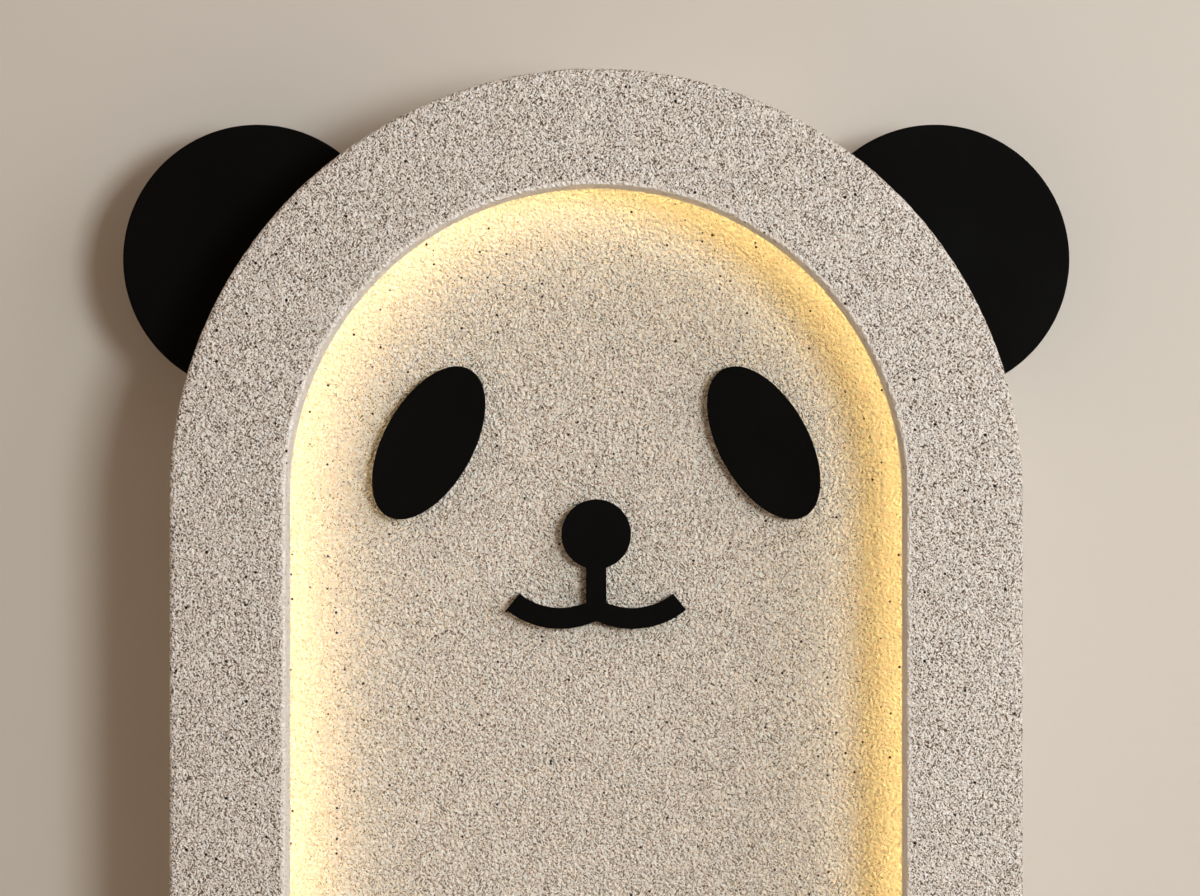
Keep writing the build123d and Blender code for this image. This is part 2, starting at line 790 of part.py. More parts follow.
def terminal_screws():
    """The slotted clamp screws at the bottom of the block's wells."""
    slot = Rectangle(3 * terminal_screw_radius, terminal_screw_slot)
    middle = terminal_well_level + terminal_screw_height / 2
    top = terminal_well_level + terminal_screw_height
    return [
        slab(Pos(x, z) * Circle(terminal_screw_radius), terminal_well_level, middle)
        + slab(Pos(x, z) * (Circle(terminal_screw_radius) - slot), middle, top)
        for x, z in terminal_screw_places()
    ]


def terminal_fixing_screw():
    """The screw that holds the terminal block to the pan."""
    return gear_screw(*terminal_place, pan_front_level + terminal_floor)


def cable_grommet():
    """The rubber grommet in the pan's cable hole."""
    place = Pos(0, -cable_entry_drop)
    low = pan_back_level - grommet_flange_thickness
    high = pan_front_level + grommet_flange_thickness
    flange = place * Circle(grommet_radius + grommet_flange)
    body = slab(flange, low, pan_back_level) + slab(flange, pan_front_level, high)
    body += slab(place * Circle(grommet_radius), low, high)
    return body - slab(place * Circle(cable_radius), low, high)


def cable_clamp():
    """A saddle clamp for the mains cable, on two feet."""
    x, z = clamp_place
    outer = clamp_arch_radius + clamp_thickness
    middle = pan_front_level + clamp_arch_radius - clamp_thickness
    saddle = rod(point(x - clamp_width / 2, middle, z), point(x + clamp_width / 2, middle, z), outer)
    feet = slab(
        Pos(x, z) * RectangleRounded(clamp_width, clamp_length, clamp_foot_corner),
        pan_front_level,
        pan_front_level + clamp_thickness,
    )
    span = slab(Pos(x, z) * Rectangle(clamp_width, 2 * outer), pan_front_level, middle)
    bore = rod(point(x - clamp_width, middle, z), point(x + clamp_width, middle, z), clamp_arch_radius)
    throat = slab(Pos(x, z) * Rectangle(2 * clamp_width, 2 * clamp_arch_radius), 0, middle)
    body = (saddle + span + feet) - bore - throat
    body -= slab(Pos(x, z) * Rectangle(4 * clamp_width, 4 * clamp_length), 0, pan_front_level)
    reach = clamp_length / 2 - clamp_width / 2
    for side in sides:
        body -= slab(Pos(x, z + side * reach) * Circle(small_screw_radius + thread_play), 0, middle)
    return body


def clamp_screws():
    """Screws through the clamp's feet."""
    x, z = clamp_place
    reach = clamp_length / 2 - clamp_width / 2
    return [gear_screw(x, z + side * reach, pan_front_level + clamp_thickness) for side in sides]


def earth_stud():
    """The earth stud, clinched into the pan."""
    x, z = earth_place
    seat = point(x, pan_back_level, z)
    foot = rod(point(x, pan_back_level - earth_flange_thickness, z), seat, earth_flange_radius)
    return foot + rod(seat, point(x, pan_back_level + earth_stud_length, z), earth_radius)


def earth_nut():
    """The nut that clamps the earth lead's ring."""
    x, z = earth_place
    seat = point(x, pan_front_level + ring_terminal_thickness, z)
    nut = (earth_nut_across_flats, earth_nut_height, earth_radius + thread_play)
    return hex_nut(seat, Vector(0, -1, 0), *nut)


# ---------------------------------------------------------------- leads inside the lamp


def lead(route, radius):
    """A round lead along a route of points, with each bend as large as its two runs allow."""
    runs = [b - a for a, b in zip(route, route[1:])]
    bends = []
    for before, after in zip(runs, runs[1:]):
        half_turn = radians(before.get_angle(after)) / 2
        bends.append(lead_bend_share * min(before.length, after.length) / tan(half_turn))
    print("lead bends, mm:", [round(bend, 1) for bend in bends])
    path = FilletPolyline(*route, radius=bends)
    return sweep(Plane(origin=path @ 0, z_dir=path % 0) * Circle(radius), path=path)


def mains_lead(pole, end_offset):
    """A lead from a pole of the terminal block to the driver's near end."""
    x = terminal_place[0] + terminal_pole_offsets()[pole]
    z = terminal_place[1] - terminal_width / 2
    end_x = driver_place[0] - driver_length / 2 + driver_ear_length
    end_z = driver_place[1] + end_offset
    route = [
        point(x, terminal_wire_level, z + terminal_wire_depth / 2),
        point(x, terminal_wire_level, z - 6.5),
        point(x + 0.22 * (end_x - x), terminal_wire_level + 0.9, z + 0.6 * (end_z - z)),
        point(end_x - 13.0, driver_lead_level, end_z),
        point(end_x, driver_lead_level, end_z),
    ]
    return lead(route, lead_radius)


def earth_lead():
    """The earth lead, from the block's last pole to its ring terminal on the stud."""
    x = terminal_place[0] + terminal_pole_offsets()[-1]
    z = terminal_place[1] - terminal_width / 2
    end_x, end_z = earth_place
    barrel_level = pan_front_level + lead_radius
    barrel_x = end_x - ring_terminal_radius - lead_radius
    route = [
        point(x, terminal_wire_level, z + terminal_wire_depth / 2),
        point(x, terminal_wire_level, z - 4.5),
        point(x + 8.5, terminal_wire_level - 0.3, z - 10.5),
        point(x + 24.0, terminal_wire_level - 0.8, z - 9.0),
        point(x + 42.0, barrel_level + 0.4, z - 1.5),
        point(end_x - 18.0, barrel_level, end_z),
        point(barrel_x, barrel_level, end_z),
    ]
    neck_start = barrel_x - lead_radius
    neck = Pos((neck_start + end_x) / 2, end_z) * Rectangle(end_x - neck_start, 2 * lead_radius)
    outline = Pos(end_x, end_z) * Circle(ring_terminal_radius) + neck
    outline -= Pos(end_x, end_z) * Circle(earth_radius + thread_play)
    ring_terminal = slab(outline, pan_front_level, pan_front_level + ring_terminal_thickness)
    return lead(route, lead_radius) + ring_terminal


def led_lead():
    """The lead from the driver's far end, round the panel's edge and up into the channel's right cap."""
    start_x = driver_place[0] + driver_length / 2 - driver_ear_length
    start_z = driver_place[1]
    edge_x = arch_radius - (panel_inset + inner_wall_inset) / 2
    end_x = arch_radius - channel_inset
    edge_level = channel_open_level - 15.0
    turn_width = end_x - edge_x
    turn_height = cap_hole_level - edge_level
    route = [
        point(start_x, driver_lead_level, start_z),
        point(start_x + 11.0, driver_lead_level, start_z),
        point(start_x + 23.0, driver_lead_level - 1.0, start_z - 7.0),
        point(edge_x - 7.5, driver_lead_level + 0.4, start_z - 19.0),
        point(edge_x - 0.8, driver_lead_level + 5.0, start_z - 31.0),
        point(edge_x, edge_level - 7.0, channel_foot_z + 7.0),
        point(edge_x - 0.5, edge_level, channel_foot_z - 6.0),
        point(edge_x + 0.25 * turn_width, edge_level + 0.25 * turn_height, channel_foot_z - 16.0),
        point(edge_x + 0.75 * turn_width, edge_level + 0.75 * turn_height, channel_foot_z - 16.0),
        point(end_x, cap_hole_level, channel_foot_z - 6.0),
        point(end_x, cap_hole_level, channel_foot_z + cap_plug_depth),
    ]
    return lead(route, led_lead_radius)


# ---------------------------------------------------------------- build and export

nodes = {
    "wall_bracket": wall_bracket(),
    "retaining_screw": retaining_screw(),
    "screw_insert": screw_insert(),
    "frame_shell": frame_shell(),
    "frame_coat": frame_coat(),
    "wall_pads": wall_pads(),
    "frame_screws": frame_screws(),
    "back_pan": back_pan(),
    "face_panel": face_panel(),
    "panel_coat": panel_coat(),
    "panel_studs": panel_studs(),
    "panel_spacers": panel_spacers(),
    "panel_nuts": panel_nuts(),
    "left_ear": ear(-1),
    "right_ear": ear(1),
    "ear_screws": ear_screws(),
    "left_eye": feature_plate(eye_outline(-1)),
    "right_eye": feature_plate(eye_outline(1)),
    "nose_mouth": feature_plate(nose_mouth_outline()),
    "feature_pads": feature_pads(),
    "led_channel": led_channel(),
    "channel_screws": channel_screws(),
    "led_tape": led_tape(),
    "led_phosphor": led_phosphor(),
    "led_end_caps": [led_end_cap(side) for side in sides],
    "led_driver": led_driver(),
    "driver_screws": driver_screws(),
    "terminal_block": terminal_block(),
    "terminal_screws": terminal_screws(),
    "terminal_fixing_screw": terminal_fixing_screw(),
    "cable_grommet": cable_grommet(),
    "cable_clamp": cable_clamp(),
    "clamp_screws": clamp_screws(),
    "earth_stud": earth_stud(),
    "earth_nut": earth_nut(),
    "live_lead": mains_lead(0, -mains_lead_offset),
    "neutral_lead": mains_lead(1, mains_lead_offset),
    "earth_lead": earth_lead(),
    "led_lead": led_lead(),
}

os.makedirs("parts", exist_ok=True)
for name, shape in nodes.items():
    solids = shape if isinstance(shape, list) else [shape]
    export_step(Compound(children=[s for one in solids for s in one.solids()]), f"parts/{name}.step")
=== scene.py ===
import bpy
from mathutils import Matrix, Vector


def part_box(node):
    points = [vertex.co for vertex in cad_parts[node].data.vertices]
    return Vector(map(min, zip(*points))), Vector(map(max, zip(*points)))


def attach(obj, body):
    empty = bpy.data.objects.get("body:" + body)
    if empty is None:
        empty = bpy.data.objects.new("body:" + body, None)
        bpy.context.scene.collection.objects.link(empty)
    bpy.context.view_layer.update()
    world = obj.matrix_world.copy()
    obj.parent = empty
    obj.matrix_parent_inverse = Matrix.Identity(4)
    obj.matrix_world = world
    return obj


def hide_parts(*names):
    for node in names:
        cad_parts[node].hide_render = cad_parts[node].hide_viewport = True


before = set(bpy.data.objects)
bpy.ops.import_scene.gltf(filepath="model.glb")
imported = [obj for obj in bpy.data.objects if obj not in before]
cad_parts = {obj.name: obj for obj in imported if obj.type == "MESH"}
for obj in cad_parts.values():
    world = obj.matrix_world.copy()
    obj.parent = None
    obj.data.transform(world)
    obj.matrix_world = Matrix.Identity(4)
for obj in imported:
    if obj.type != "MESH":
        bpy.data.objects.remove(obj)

"""Arched wall lamp with a panda's face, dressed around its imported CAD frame.

The wall is the plane y = 0, the lamp faces -Y and +Z is up. Every length is in metres unless its name ends
in _mm. The stone coats are made again here with their relief, and the fasteners that show with threads,
drives and chamfers. Every other CAD node keeps its shape and gets the finish of the real one.
"""

import logging
import math
from dataclasses import dataclass, field, replace
from enum import Enum
from typing import ClassVar

import bmesh
import bpy
from bmesh.types import BMesh, BMVert
from bpy.types import Material, Node, NodeSocket, NodeTree, Object
from bpy.types import bpy_prop_collection as Sockets
from mathutils import Matrix, Vector, noise

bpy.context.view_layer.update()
log = logging.getLogger("wall_lamp")

MM = 0.001
SLIVER = 0.01 * MM
SAME_PLACE = 0.001 * MM
KEY_DIGITS = 7  # of a metre's decimals
ROOM = Vector((0.0, -1.0, 0.0))
WALL = Vector((0.0, 1.0, 0.0))
ORIGIN = (0, 0, 0)
UPWARD = (0, 0, 1)
NOISE_LOW, NOISE_HIGH = 0.3, 0.7  # most of a noise texture's values lie between these
DIAGONAL_BANDS = 10.0  # radians that the wave texture turns for each unit of x + y + z


# ---------------------------------------------------------------- shared helpers


def linear(hex_colour: str) -> tuple[float, float, float, float]:
    """Turn an sRGB hex colour to linear RGBA.

    Args:
        hex_colour: six hex digits, such as "c8baa8".

    Returns:
        Linear red, green, blue and an alpha of 1.
    """
    parts = [int(hex_colour[i : i + 2], 16) / 255 for i in (0, 2, 4)]
    red, green, blue = (p / 12.92 if p <= 0.04045 else ((p + 0.055) / 1.055) ** 2.4 for p in parts)
    return red, green, blue, 1.0


def add_node(tree: NodeTree, kind: str, inputs: dict | None = None, **settings: object) -> Sockets:
    """Add a node with its settings, its values and its links.

    Args:
        tree: the node tree that it goes into.
        kind: the node's type name, without the "ShaderNode" that it starts with.
        inputs: a value, or another node's output socket, for each input by name or number.
        **settings: the node's own properties.

    Returns:
        The new node's outputs, by name or number.
    """
    node = tree.nodes.new("ShaderNode" + kind)
    for key, value in settings.items():
        setattr(node, key, value)
    for key, value in (inputs or {}).items():
        if isinstance(value, NodeSocket):
            tree.links.new(value, node.inputs[key])
        else:
            node.inputs[key].default_value = value
    return node.outputs


def make_piece(bm: BMesh, name: str, material: Material, sharp_above: float = 35.0) -> Object:
    """Turn a bmesh to a shaded object at the origin.

    Args:
        bm: the finished form, which is freed.
        name: the piece's name.
        material: its finish.
        sharp_above: edges that turn by more degrees than this are shaded sharp.

    Returns:
        The new object, linked to the scene.
    """
    for face in bm.faces:
        face.smooth = True
    limit = math.radians(sharp_above)
    for edge in bm.edges:
        edge.smooth = len(edge.link_faces) != 2 or edge.calc_face_angle(0.0) < limit
    mesh = bpy.data.meshes.new(name)
    bm.to_mesh(mesh)
    bm.free()
    mesh.materials.append(material)
    piece = bpy.data.objects.new(name, mesh)
    bpy.context.scene.collection.objects.link(piece)
    return piece


def merge_slivers(bm: BMesh) -> None:
    """Close up edges too small to be part of the form, and divide the many-sided faces without overlaps.

    Args:
        bm: the form, which is changed in place.
    """
    bmesh.ops.remove_doubles(bm, verts=bm.verts, dist=SLIVER)
    bmesh.ops.dissolve_degenerate(bm, edges=bm.edges, dist=SLIVER)
    many_sided = [face for face in bm.faces if len(face.verts) > 4]
    bmesh.ops.triangulate(bm, faces=many_sided, quad_method="BEAUTY", ngon_method="BEAUTY")


def carve(bm: BMesh, cutter: BMesh) -> BMesh:
    """Cut one closed form out of another.

    Args:
        bm: the form to cut, which is freed.
        cutter: what is taken away, which is freed.

    Returns:
        The cut form as a new bmesh.
    """
    objects = []
    for form in (bm, cutter):
        mesh = bpy.data.meshes.new("carve")
        form.to_mesh(mesh)
        form.free()
        objects.append(bpy.data.objects.new("carve", mesh))
        bpy.context.scene.collection.objects.link(objects[-1])
    body, tool = objects
    boolean = body.modifiers.new("cut", "BOOLEAN")
    boolean.operation = "DIFFERENCE"
    boolean.solver = "EXACT"
    boolean.object = tool
    cut = bpy.data.meshes.new_from_object(body.evaluated_get(bpy.context.evaluated_depsgraph_get()))
    result = bmesh.new()
    result.from_mesh(cut)
    for one in objects:
        mesh = one.data
        bpy.data.objects.remove(one)
        bpy.data.meshes.remove(mesh)
    bpy.data.meshes.remove(cut)
    merge_slivers(result)
    return result


def facing(seat: Vector, way: Vector) -> Matrix:
    """The transform that stands a form made along +Z on a seat, pointing along a direction."""
    return Matrix.Translation(seat) @ way.to_track_quat("Z", "Y").to_matrix().to_4x4()


def close_up(bm: BMesh) -> None:
    """Fill the open ends of a form and turn its faces outward."""
    bmesh.ops.holes_fill(bm, edges=[edge for edge in bm.edges if edge.is_boundary], sides=0)
    bmesh.ops.recalc_face_normals(bm, faces=bm.faces)


def revolve(profile: list[tuple[float, float]], steps: int) -> BMesh:
    """Spin a profile of radius and height points round the Z axis.

    Args:
        profile: the points from one end of the axis to the other.
        steps: how many sides the form has.

    Returns:
        The closed form.
    """
    bm = bmesh.new()
    verts = [bm.verts.new((radius, 0.0, height)) for radius, height in profile]
    edges = [bm.edges.new(pair) for pair in zip(verts, verts[1:])]
    bmesh.ops.spin(
        bm, geom=[*verts, *edges], cent=ORIGIN, axis=UPWARD, angle=math.tau, steps=steps, use_merge=True
    )
    bmesh.ops.remove_doubles(bm, verts=bm.verts, dist=SAME_PLACE)
    close_up(bm)
    return bm


def gathered(forms: list[tuple[BMesh, list[Matrix]]]) -> BMesh:
    """Copy each of several forms to its places, all in one.

    Args:
        forms: each form, which is freed, with the transform of each of its copies.

    Returns:
        All the copies in one bmesh.
    """
    whole = bmesh.new()
    for form, places in forms:
        mesh = bpy.data.meshes.new("pattern")
        form.to_mesh(mesh)
        form.free()
        for place in places:
            start = len(whole.verts)
            whole.from_mesh(mesh)
            whole.verts.ensure_lookup_table()
            bmesh.ops.transform(whole, matrix=place, verts=whole.verts[start:])
        bpy.data.meshes.remove(mesh)
    return whole


def solid_boxes(name: str) -> list[tuple[Vector, Vector]]:
    """The box round each separate solid of a CAD node.

    Args:
        name: the node's name.

    Returns:
        The low and the high corner of each box, in order of their places.
    """
    bm = bmesh.new()
    bm.from_mesh(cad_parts[name].data)
    bmesh.ops.remove_doubles(bm, verts=bm.verts, dist=SAME_PLACE)
    unseen = set(bm.verts)
    boxes = []
    while unseen:
        reached = [unseen.pop()]
        points = []
        while reached:
            vert = reached.pop()
            points.append(vert.co.copy())
            near = {edge.other_vert(vert) for edge in vert.link_edges} & unseen
            unseen -= near
            reached += near
        low = Vector(min(p[i] for p in points) for i in range(3))
        high = Vector(max(p[i] for p in points) for i in range(3))
        boxes.append((low, high))
    bm.free()
    return sorted(boxes, key=lambda box: tuple(box[0]))


# ---------------------------------------------------------------- finishes


@dataclass(frozen=True)
class Finish:
    """A finish on the Principled shader, with what is the same all over set on its sockets."""

    name: str
    colour: str
    roughness: float
    metallic: float = 0.0
    ior: float = 1.5
    specular: float = 0.5
    roughness_swing: float = 0.06
    relief_mm: float = 0.03

    def build(self) -> Material:
        """Make the material.

        Returns:
            The new material.
        """
        material = bpy.data.materials.new(self.name)
        material.use_nodes = True
        tree = material.node_tree
        shader = tree.nodes["Principled BSDF"]
        shader.inputs["Base Color"].default_value = linear(self.colour)
        shader.inputs["Roughness"].default_value = self.roughness
        shader.inputs["Metallic"].default_value = self.metallic
        shader.inputs["IOR"].default_value = self.ior
        shader.inputs["Specular IOR Level"].default_value = self.specular
        self.lay(tree, shader, add_node(tree, "TexCoord")["Object"])
        return material

    def lay(self, tree: NodeTree, shader: Node, place: NodeSocket) -> None:
        """Add what varies over the surface."""

    def tint(
        self, tree: NodeTree, shader: Node, pattern: NodeSocket, span: tuple[float, float], other: str,
        most: float = 1.0,
    ) -> None:
        """Turn the colour towards another where a pattern is strong.

        Args:
            tree: the material's node tree.
            shader: its shader.
            pattern: what varies over the surface.
            span: the pattern's values where the other colour starts and where it is strongest.
            other: the other colour, as sRGB hex.
            most: the other colour's largest share.
        """
        share = add_node(
            tree, "MapRange", {"Value": pattern, "From Min": span[0], "From Max": span[1], "To Max": most}
        )[0]
        mixed = add_node(
            tree, "Mix", {0: share, 6: linear(self.colour), 7: linear(other)}, data_type="RGBA"
        )[2]
        tree.links.new(mixed, shader.inputs["Base Color"])

    def texture(self, tree: NodeTree, shader: Node, gloss: NodeSocket, grain: NodeSocket) -> None:
        """Swing the roughness with one pattern and raise a relief with another, or with the same one.

        Args:
            tree: the material's node tree.
            shader: its shader.
            gloss: the pattern of the roughness.
            grain: the pattern of the relief.
        """
        rough = add_node(
            tree, "MapRange",
            {
                "Value": gloss, "From Min": NOISE_LOW, "From Max": NOISE_HIGH,
                "To Min": self.roughness - self.roughness_swing,
                "To Max": self.roughness + self.roughness_swing,
            },
        )[0]
        tree.links.new(rough, shader.inputs["Roughness"])
        self.raise_relief(tree, shader, grain)

    def raise_relief(self, tree: NodeTree, shader: Node, height: NodeSocket) -> None:
        """Lay a relief on the surface, as high as the finish says."""
        bump = add_node(tree, "Bump", {"Distance": self.relief_mm * MM, "Height": height})[0]
        tree.links.new(bump, shader.inputs["Normal"])


@dataclass(frozen=True)
class StoneCoat(Finish):
    """Sprayed stone-effect paint: mineral grit held in matt acrylic, dry to the eye.

    The gun lays the grit down in short strokes that cross each other. Painted highlights lie pale on their
    crests and painted shade lies brown in the hollows between them, and dark chips and calmer patches are
    scattered over them. Towards the opening's edge the strokes are lowered, as painted light: the lip's inner
    wall is painted pale, a painted highlight for the glow that falls on it, and the face panel is plainer and
    paler towards the lip, where the lamp's glow washes over it. None of its patterns is drawn coarser than
    real.
    """

    shade: str = "4b3520"
    chip: str = "22160a"
    pale: str = "fffaf2"
    stroke_width_mm: float = 0.37
    stroke_length_mm: float = 1.2
    stroke_angles: tuple[float, float] = (-42.0, 38.0)
    stroke_share: float = 0.55  # of the height, with the sand's as the rest
    crossing_mm: float = 1.5
    crossing_edge: float = 0.08
    sand_mm: float = 0.37
    grain_mm: float = 0.85
    grain_share: float = 1.0
    # painted shade and painted highlight: the strokes' heights where the brown shade and the pale start, and
    # where they are strongest
    painted_shade_span: tuple[float, float] = (-0.055, -0.08)
    painted_shade_most: float = 0.9
    painted_highlight_span: tuple[float, float] = (0.03, 0.065)
    painted_highlight_most: float = 0.95
    chip_spacing_mm: float = 2.8
    chip_radius_mm: float = 0.5
    chip_share: float = 0.3
    chip_growth: float = 0.2  # how much luck takes a chip from nothing to its full size
    chip_edge: float = 0.04
    patch_mm: float = 5.0
    calm_span: tuple[float, float] = (0.52, 0.66)
    calm_height: float = 0.82
    relief_mm: float = 1.8  # over a height of 1, and the strokes reach about a quarter of it
    stroke_relief: float = 0.8
    chip_relief: float = -0.2
    opening: float = 0.09
    arch_z: float = 0.0
    foot_z: float = 0.0
    # painted light near the opening: how far it reaches, how much of the strokes it keeps, and the pale
    # height it lifts them to
    painted_light_span_mm: tuple[float, float] = (0.6, 1.6)  # outward from the opening, from where the painted light is strongest to where it ends
    painted_light_stroke_share: float = 0.15
    painted_light_height: float = 0.07

    def lay(self, tree: NodeTree, shader: Node, place: NodeSocket) -> None:
        """Add strokes, sand, chips and patches to colour and relief, with painted shade in the hollows and
        painted highlights on the crests.

        Args:
            tree: the material's node tree.
            shader: its shader.
            place: the place on the object.
        """
        crossing, sand, patches, grains = (
            add_node(tree, "TexNoise", {"Vector": place, "Scale": 1 / (size * MM), "Detail": detail})["Fac"]
            for size, detail in (
                (self.crossing_mm, 0.0), (self.sand_mm, 0.0), (self.patch_mm, 1.0), (self.grain_mm, 1.0)
            )
        )
        # The strokes' height, with painted light laid on it near the opening.
        height = self.painted_light_near_opening(tree, place, self.strokes(tree, place, crossing, sand, patches))
        inside = self.chips(tree, place)
        # Painted shade in the hollows and painted highlights on the crests, from the relief's own height; the
        # chips are the coat's dark grit.
        painted_highlight, painted_shade, chip = (
            add_node(tree, "MapRange", {"Value": value, "From Min": low, "From Max": high, "To Max": most})[0]
            for value, (low, high), most in (
                (height, self.painted_highlight_span, self.painted_highlight_most),
                (height, self.painted_shade_span, self.painted_shade_most),
                (inside, (0.0, self.chip_edge), 1.0),
            )
        )
        tone = linear(self.colour)
        for share, other in ((painted_highlight, self.pale), (painted_shade, self.shade), (chip, self.chip)):
            tone = add_node(tree, "Mix", {0: share, 6: tone, 7: linear(other)}, data_type="RGBA")[2]
        tree.links.new(tone, shader.inputs["Base Color"])
        relief = add_node(tree, "Math", {0: grains, 1: self.grain_share}, operation="MULTIPLY")[0]
        for part, share in ((height, self.stroke_relief), (chip, self.chip_relief)):
            relief = add_node(tree, "Math", {0: part, 1: share, 2: relief}, operation="MULTIPLY_ADD")[0]
        self.raise_relief(tree, shader, relief)

    def strokes(
        self, tree: NodeTree, place: NodeSocket, crossing: NodeSocket, sand: NodeSocket, patches: NodeSocket
    ) -> NodeSocket:
        """The height of the crossed strokes with sand on them, about 0, and lower in the calm patches.

        Args:
            tree: the material's node tree.
            place: the place on the object.
            crossing: a pattern that says which way the strokes run.
            sand: the sand's pattern.
            patches: the calm patches' pattern.

        Returns:
            The height.
        """
        across, along = self.stroke_width_mm * MM, self.stroke_length_mm * MM
        ways = []
        for angle in self.stroke_angles:
            turn = (0.0, math.radians(angle), 0.0)
            turned = add_node(
                tree, "Mapping", {"Vector": place, "Rotation": turn, "Scale": (across, along, along)},
                vector_type="TEXTURE",
            )[0]
            ways.append(add_node(tree, "TexNoise", {"Vector": turned, "Scale": 1.0, "Detail": 0.6})["Fac"])
        chosen = add_node(
            tree, "MapRange",
            {"Value": crossing, "From Min": 0.5 - self.crossing_edge, "From Max": 0.5 + self.crossing_edge},
        )[0]
        stroke = add_node(tree, "Mix", {0: chosen, 2: ways[0], 3: ways[1]})[0]
        grit = add_node(tree, "Math", {0: sand, 1: 1 - self.stroke_share}, operation="MULTIPLY")[0]
        crests = add_node(
            tree, "Math", {0: stroke, 1: self.stroke_share, 2: grit}, operation="MULTIPLY_ADD"
        )[0]
        centred = add_node(tree, "Math", {0: crests, 1: 0.5}, operation="SUBTRACT")[0]
        calm = add_node(
            tree, "MapRange",
            {
                "Value": patches, "From Min": self.calm_span[0], "From Max": self.calm_span[1],
                "To Min": 1.0, "To Max": self.calm_height,
            },
        )[0]
        return add_node(tree, "Math", {0: centred, 1: calm}, operation="MULTIPLY")[0]

    def painted_light_near_opening(self, tree: NodeTree, place: NodeSocket, height: NodeSocket) -> NodeSocket:
        """Painted light towards the opening's edge: lower the strokes and lift them to a pale height, a
        painted highlight on the lip's inner wall and a paler, plainer band on the panel where the glow falls.

        Args:
            tree: the material's node tree.
            place: the place on the object.
            height: the strokes' height.

        Returns:
            The height with the painted light near the opening.
        """
        along = add_node(tree, "SeparateXYZ", {0: place})
        over = add_node(tree, "Math", {0: along["Z"], 1: self.arch_z}, operation="SUBTRACT")[0]
        rise = add_node(tree, "Math", {0: over, 1: 0.0}, operation="MAXIMUM")[0]
        spoke = add_node(tree, "CombineXYZ", {0: along["X"], 2: rise})[0]
        reach = add_node(tree, "VectorMath", {0: spoke}, operation="LENGTH")["Value"]
        beside = add_node(tree, "Math", {0: reach, 1: self.opening}, operation="SUBTRACT")[0]
        below = add_node(tree, "Math", {0: self.foot_z, 1: along["Z"]}, operation="SUBTRACT")[0]
        past_edge = add_node(tree, "Math", {0: beside, 1: below}, operation="MAXIMUM")[0]
        light_strongest, light_ends = self.painted_light_span_mm
        share = add_node(
            tree, "MapRange",
            {
                "Value": past_edge, "From Min": light_strongest * MM, "From Max": light_ends * MM,
                "To Min": self.painted_light_stroke_share, "To Max": 1.0,
            },
        )[0]
        # Painted light: the pale height that the strokes are lifted to near the opening.
        painted_light_lift = add_node(
            tree, "Math", {0: share, 1: -self.painted_light_height, 2: self.painted_light_height},
            operation="MULTIPLY_ADD",
        )[0]
        return add_node(tree, "Math", {0: height, 1: share, 2: painted_light_lift}, operation="MULTIPLY_ADD")[0]

    def chips(self, tree: NodeTree, place: NodeSocket) -> NodeSocket:
        """How far a place lies inside a dark chip.

        Args:
            tree: the material's node tree.
            place: the place on the object.

        Returns:
            The depth inside as a share of the chips' spacing, below 0 outside a chip.
        """
        spots = add_node(tree, "TexVoronoi", {"Vector": place, "Scale": 1 / (self.chip_spacing_mm * MM)})
        luck = add_node(tree, "SeparateColor", {"Color": spots["Color"]})[0]
        size = add_node(
            tree, "MapRange",
            {
                "Value": luck, "From Min": 1 - self.chip_share,
                "From Max": 1 - self.chip_share + self.chip_growth,
                "To Min": 0.0, "To Max": self.chip_radius_mm / self.chip_spacing_mm,
            },
        )[0]
        return add_node(tree, "Math", {0: size, 1: spots["Distance"]}, operation="SUBTRACT")[0]


@dataclass(frozen=True)
class Speckle(Finish):
    """A moulded, cast or coated surface: a fine relief breaks up its shine, with a second tone in clouds."""

    tone: str = "808080"
    cloud_mm: float = 18.0
    cloud_span: tuple[float, float] = (0.35, 0.7)
    tone_share: float = 0.35
    relief_pitch_mm: float = 0.8  # coarser than the real grain of about 0.1 mm, so that it shows

    def lay(self, tree: NodeTree, shader: Node, place: NodeSocket) -> None:
        """Add clouds of tone and the fine relief.

        Args:
            tree: the material's node tree.
            shader: its shader.
            place: the place on the object.
        """
        clouds, grit = (
            add_node(tree, "TexNoise", {"Vector": place, "Scale": 1 / (size * MM), "Detail": detail})["Fac"]
            for size, detail in ((self.cloud_mm, 3.0), (self.relief_pitch_mm, 2.0))
        )
        self.tint(tree, shader, clouds, self.cloud_span, self.tone, self.tone_share)
        self.texture(tree, shader, grit, grit)


class Along(Enum):
    """The axis that drawn or turned lines run along."""

    X = 0
    Z = 2


@dataclass(frozen=True)
class DrawnMetal(Finish):
    """Rolled, drawn, turned or extruded metal: fine lines along the way it was made streak its shine."""

    along: Along = Along.Z
    line_mm: float = 0.25  # coarser than real tool marks of about 0.03 mm, so that they show
    stretch: float = 50.0
    roughness_swing: float = 0.1
    relief_mm: float = 0.01

    def lay(self, tree: NodeTree, shader: Node, place: NodeSocket) -> None:
        """Add the lines to roughness and relief.

        Args:
            tree: the material's node tree.
            shader: its shader.
            place: the place on the object.
        """
        scale = [self.line_mm * MM] * 3
        scale[self.along.value] *= self.stretch
        drawn = add_node(tree, "Mapping", {"Vector": place, "Scale": scale}, vector_type="TEXTURE")
        lines = add_node(tree, "TexNoise", {"Vector": drawn[0], "Scale": 1.0, "Detail": 3.0})["Fac"]
        self.texture(tree, shader, lines, lines)


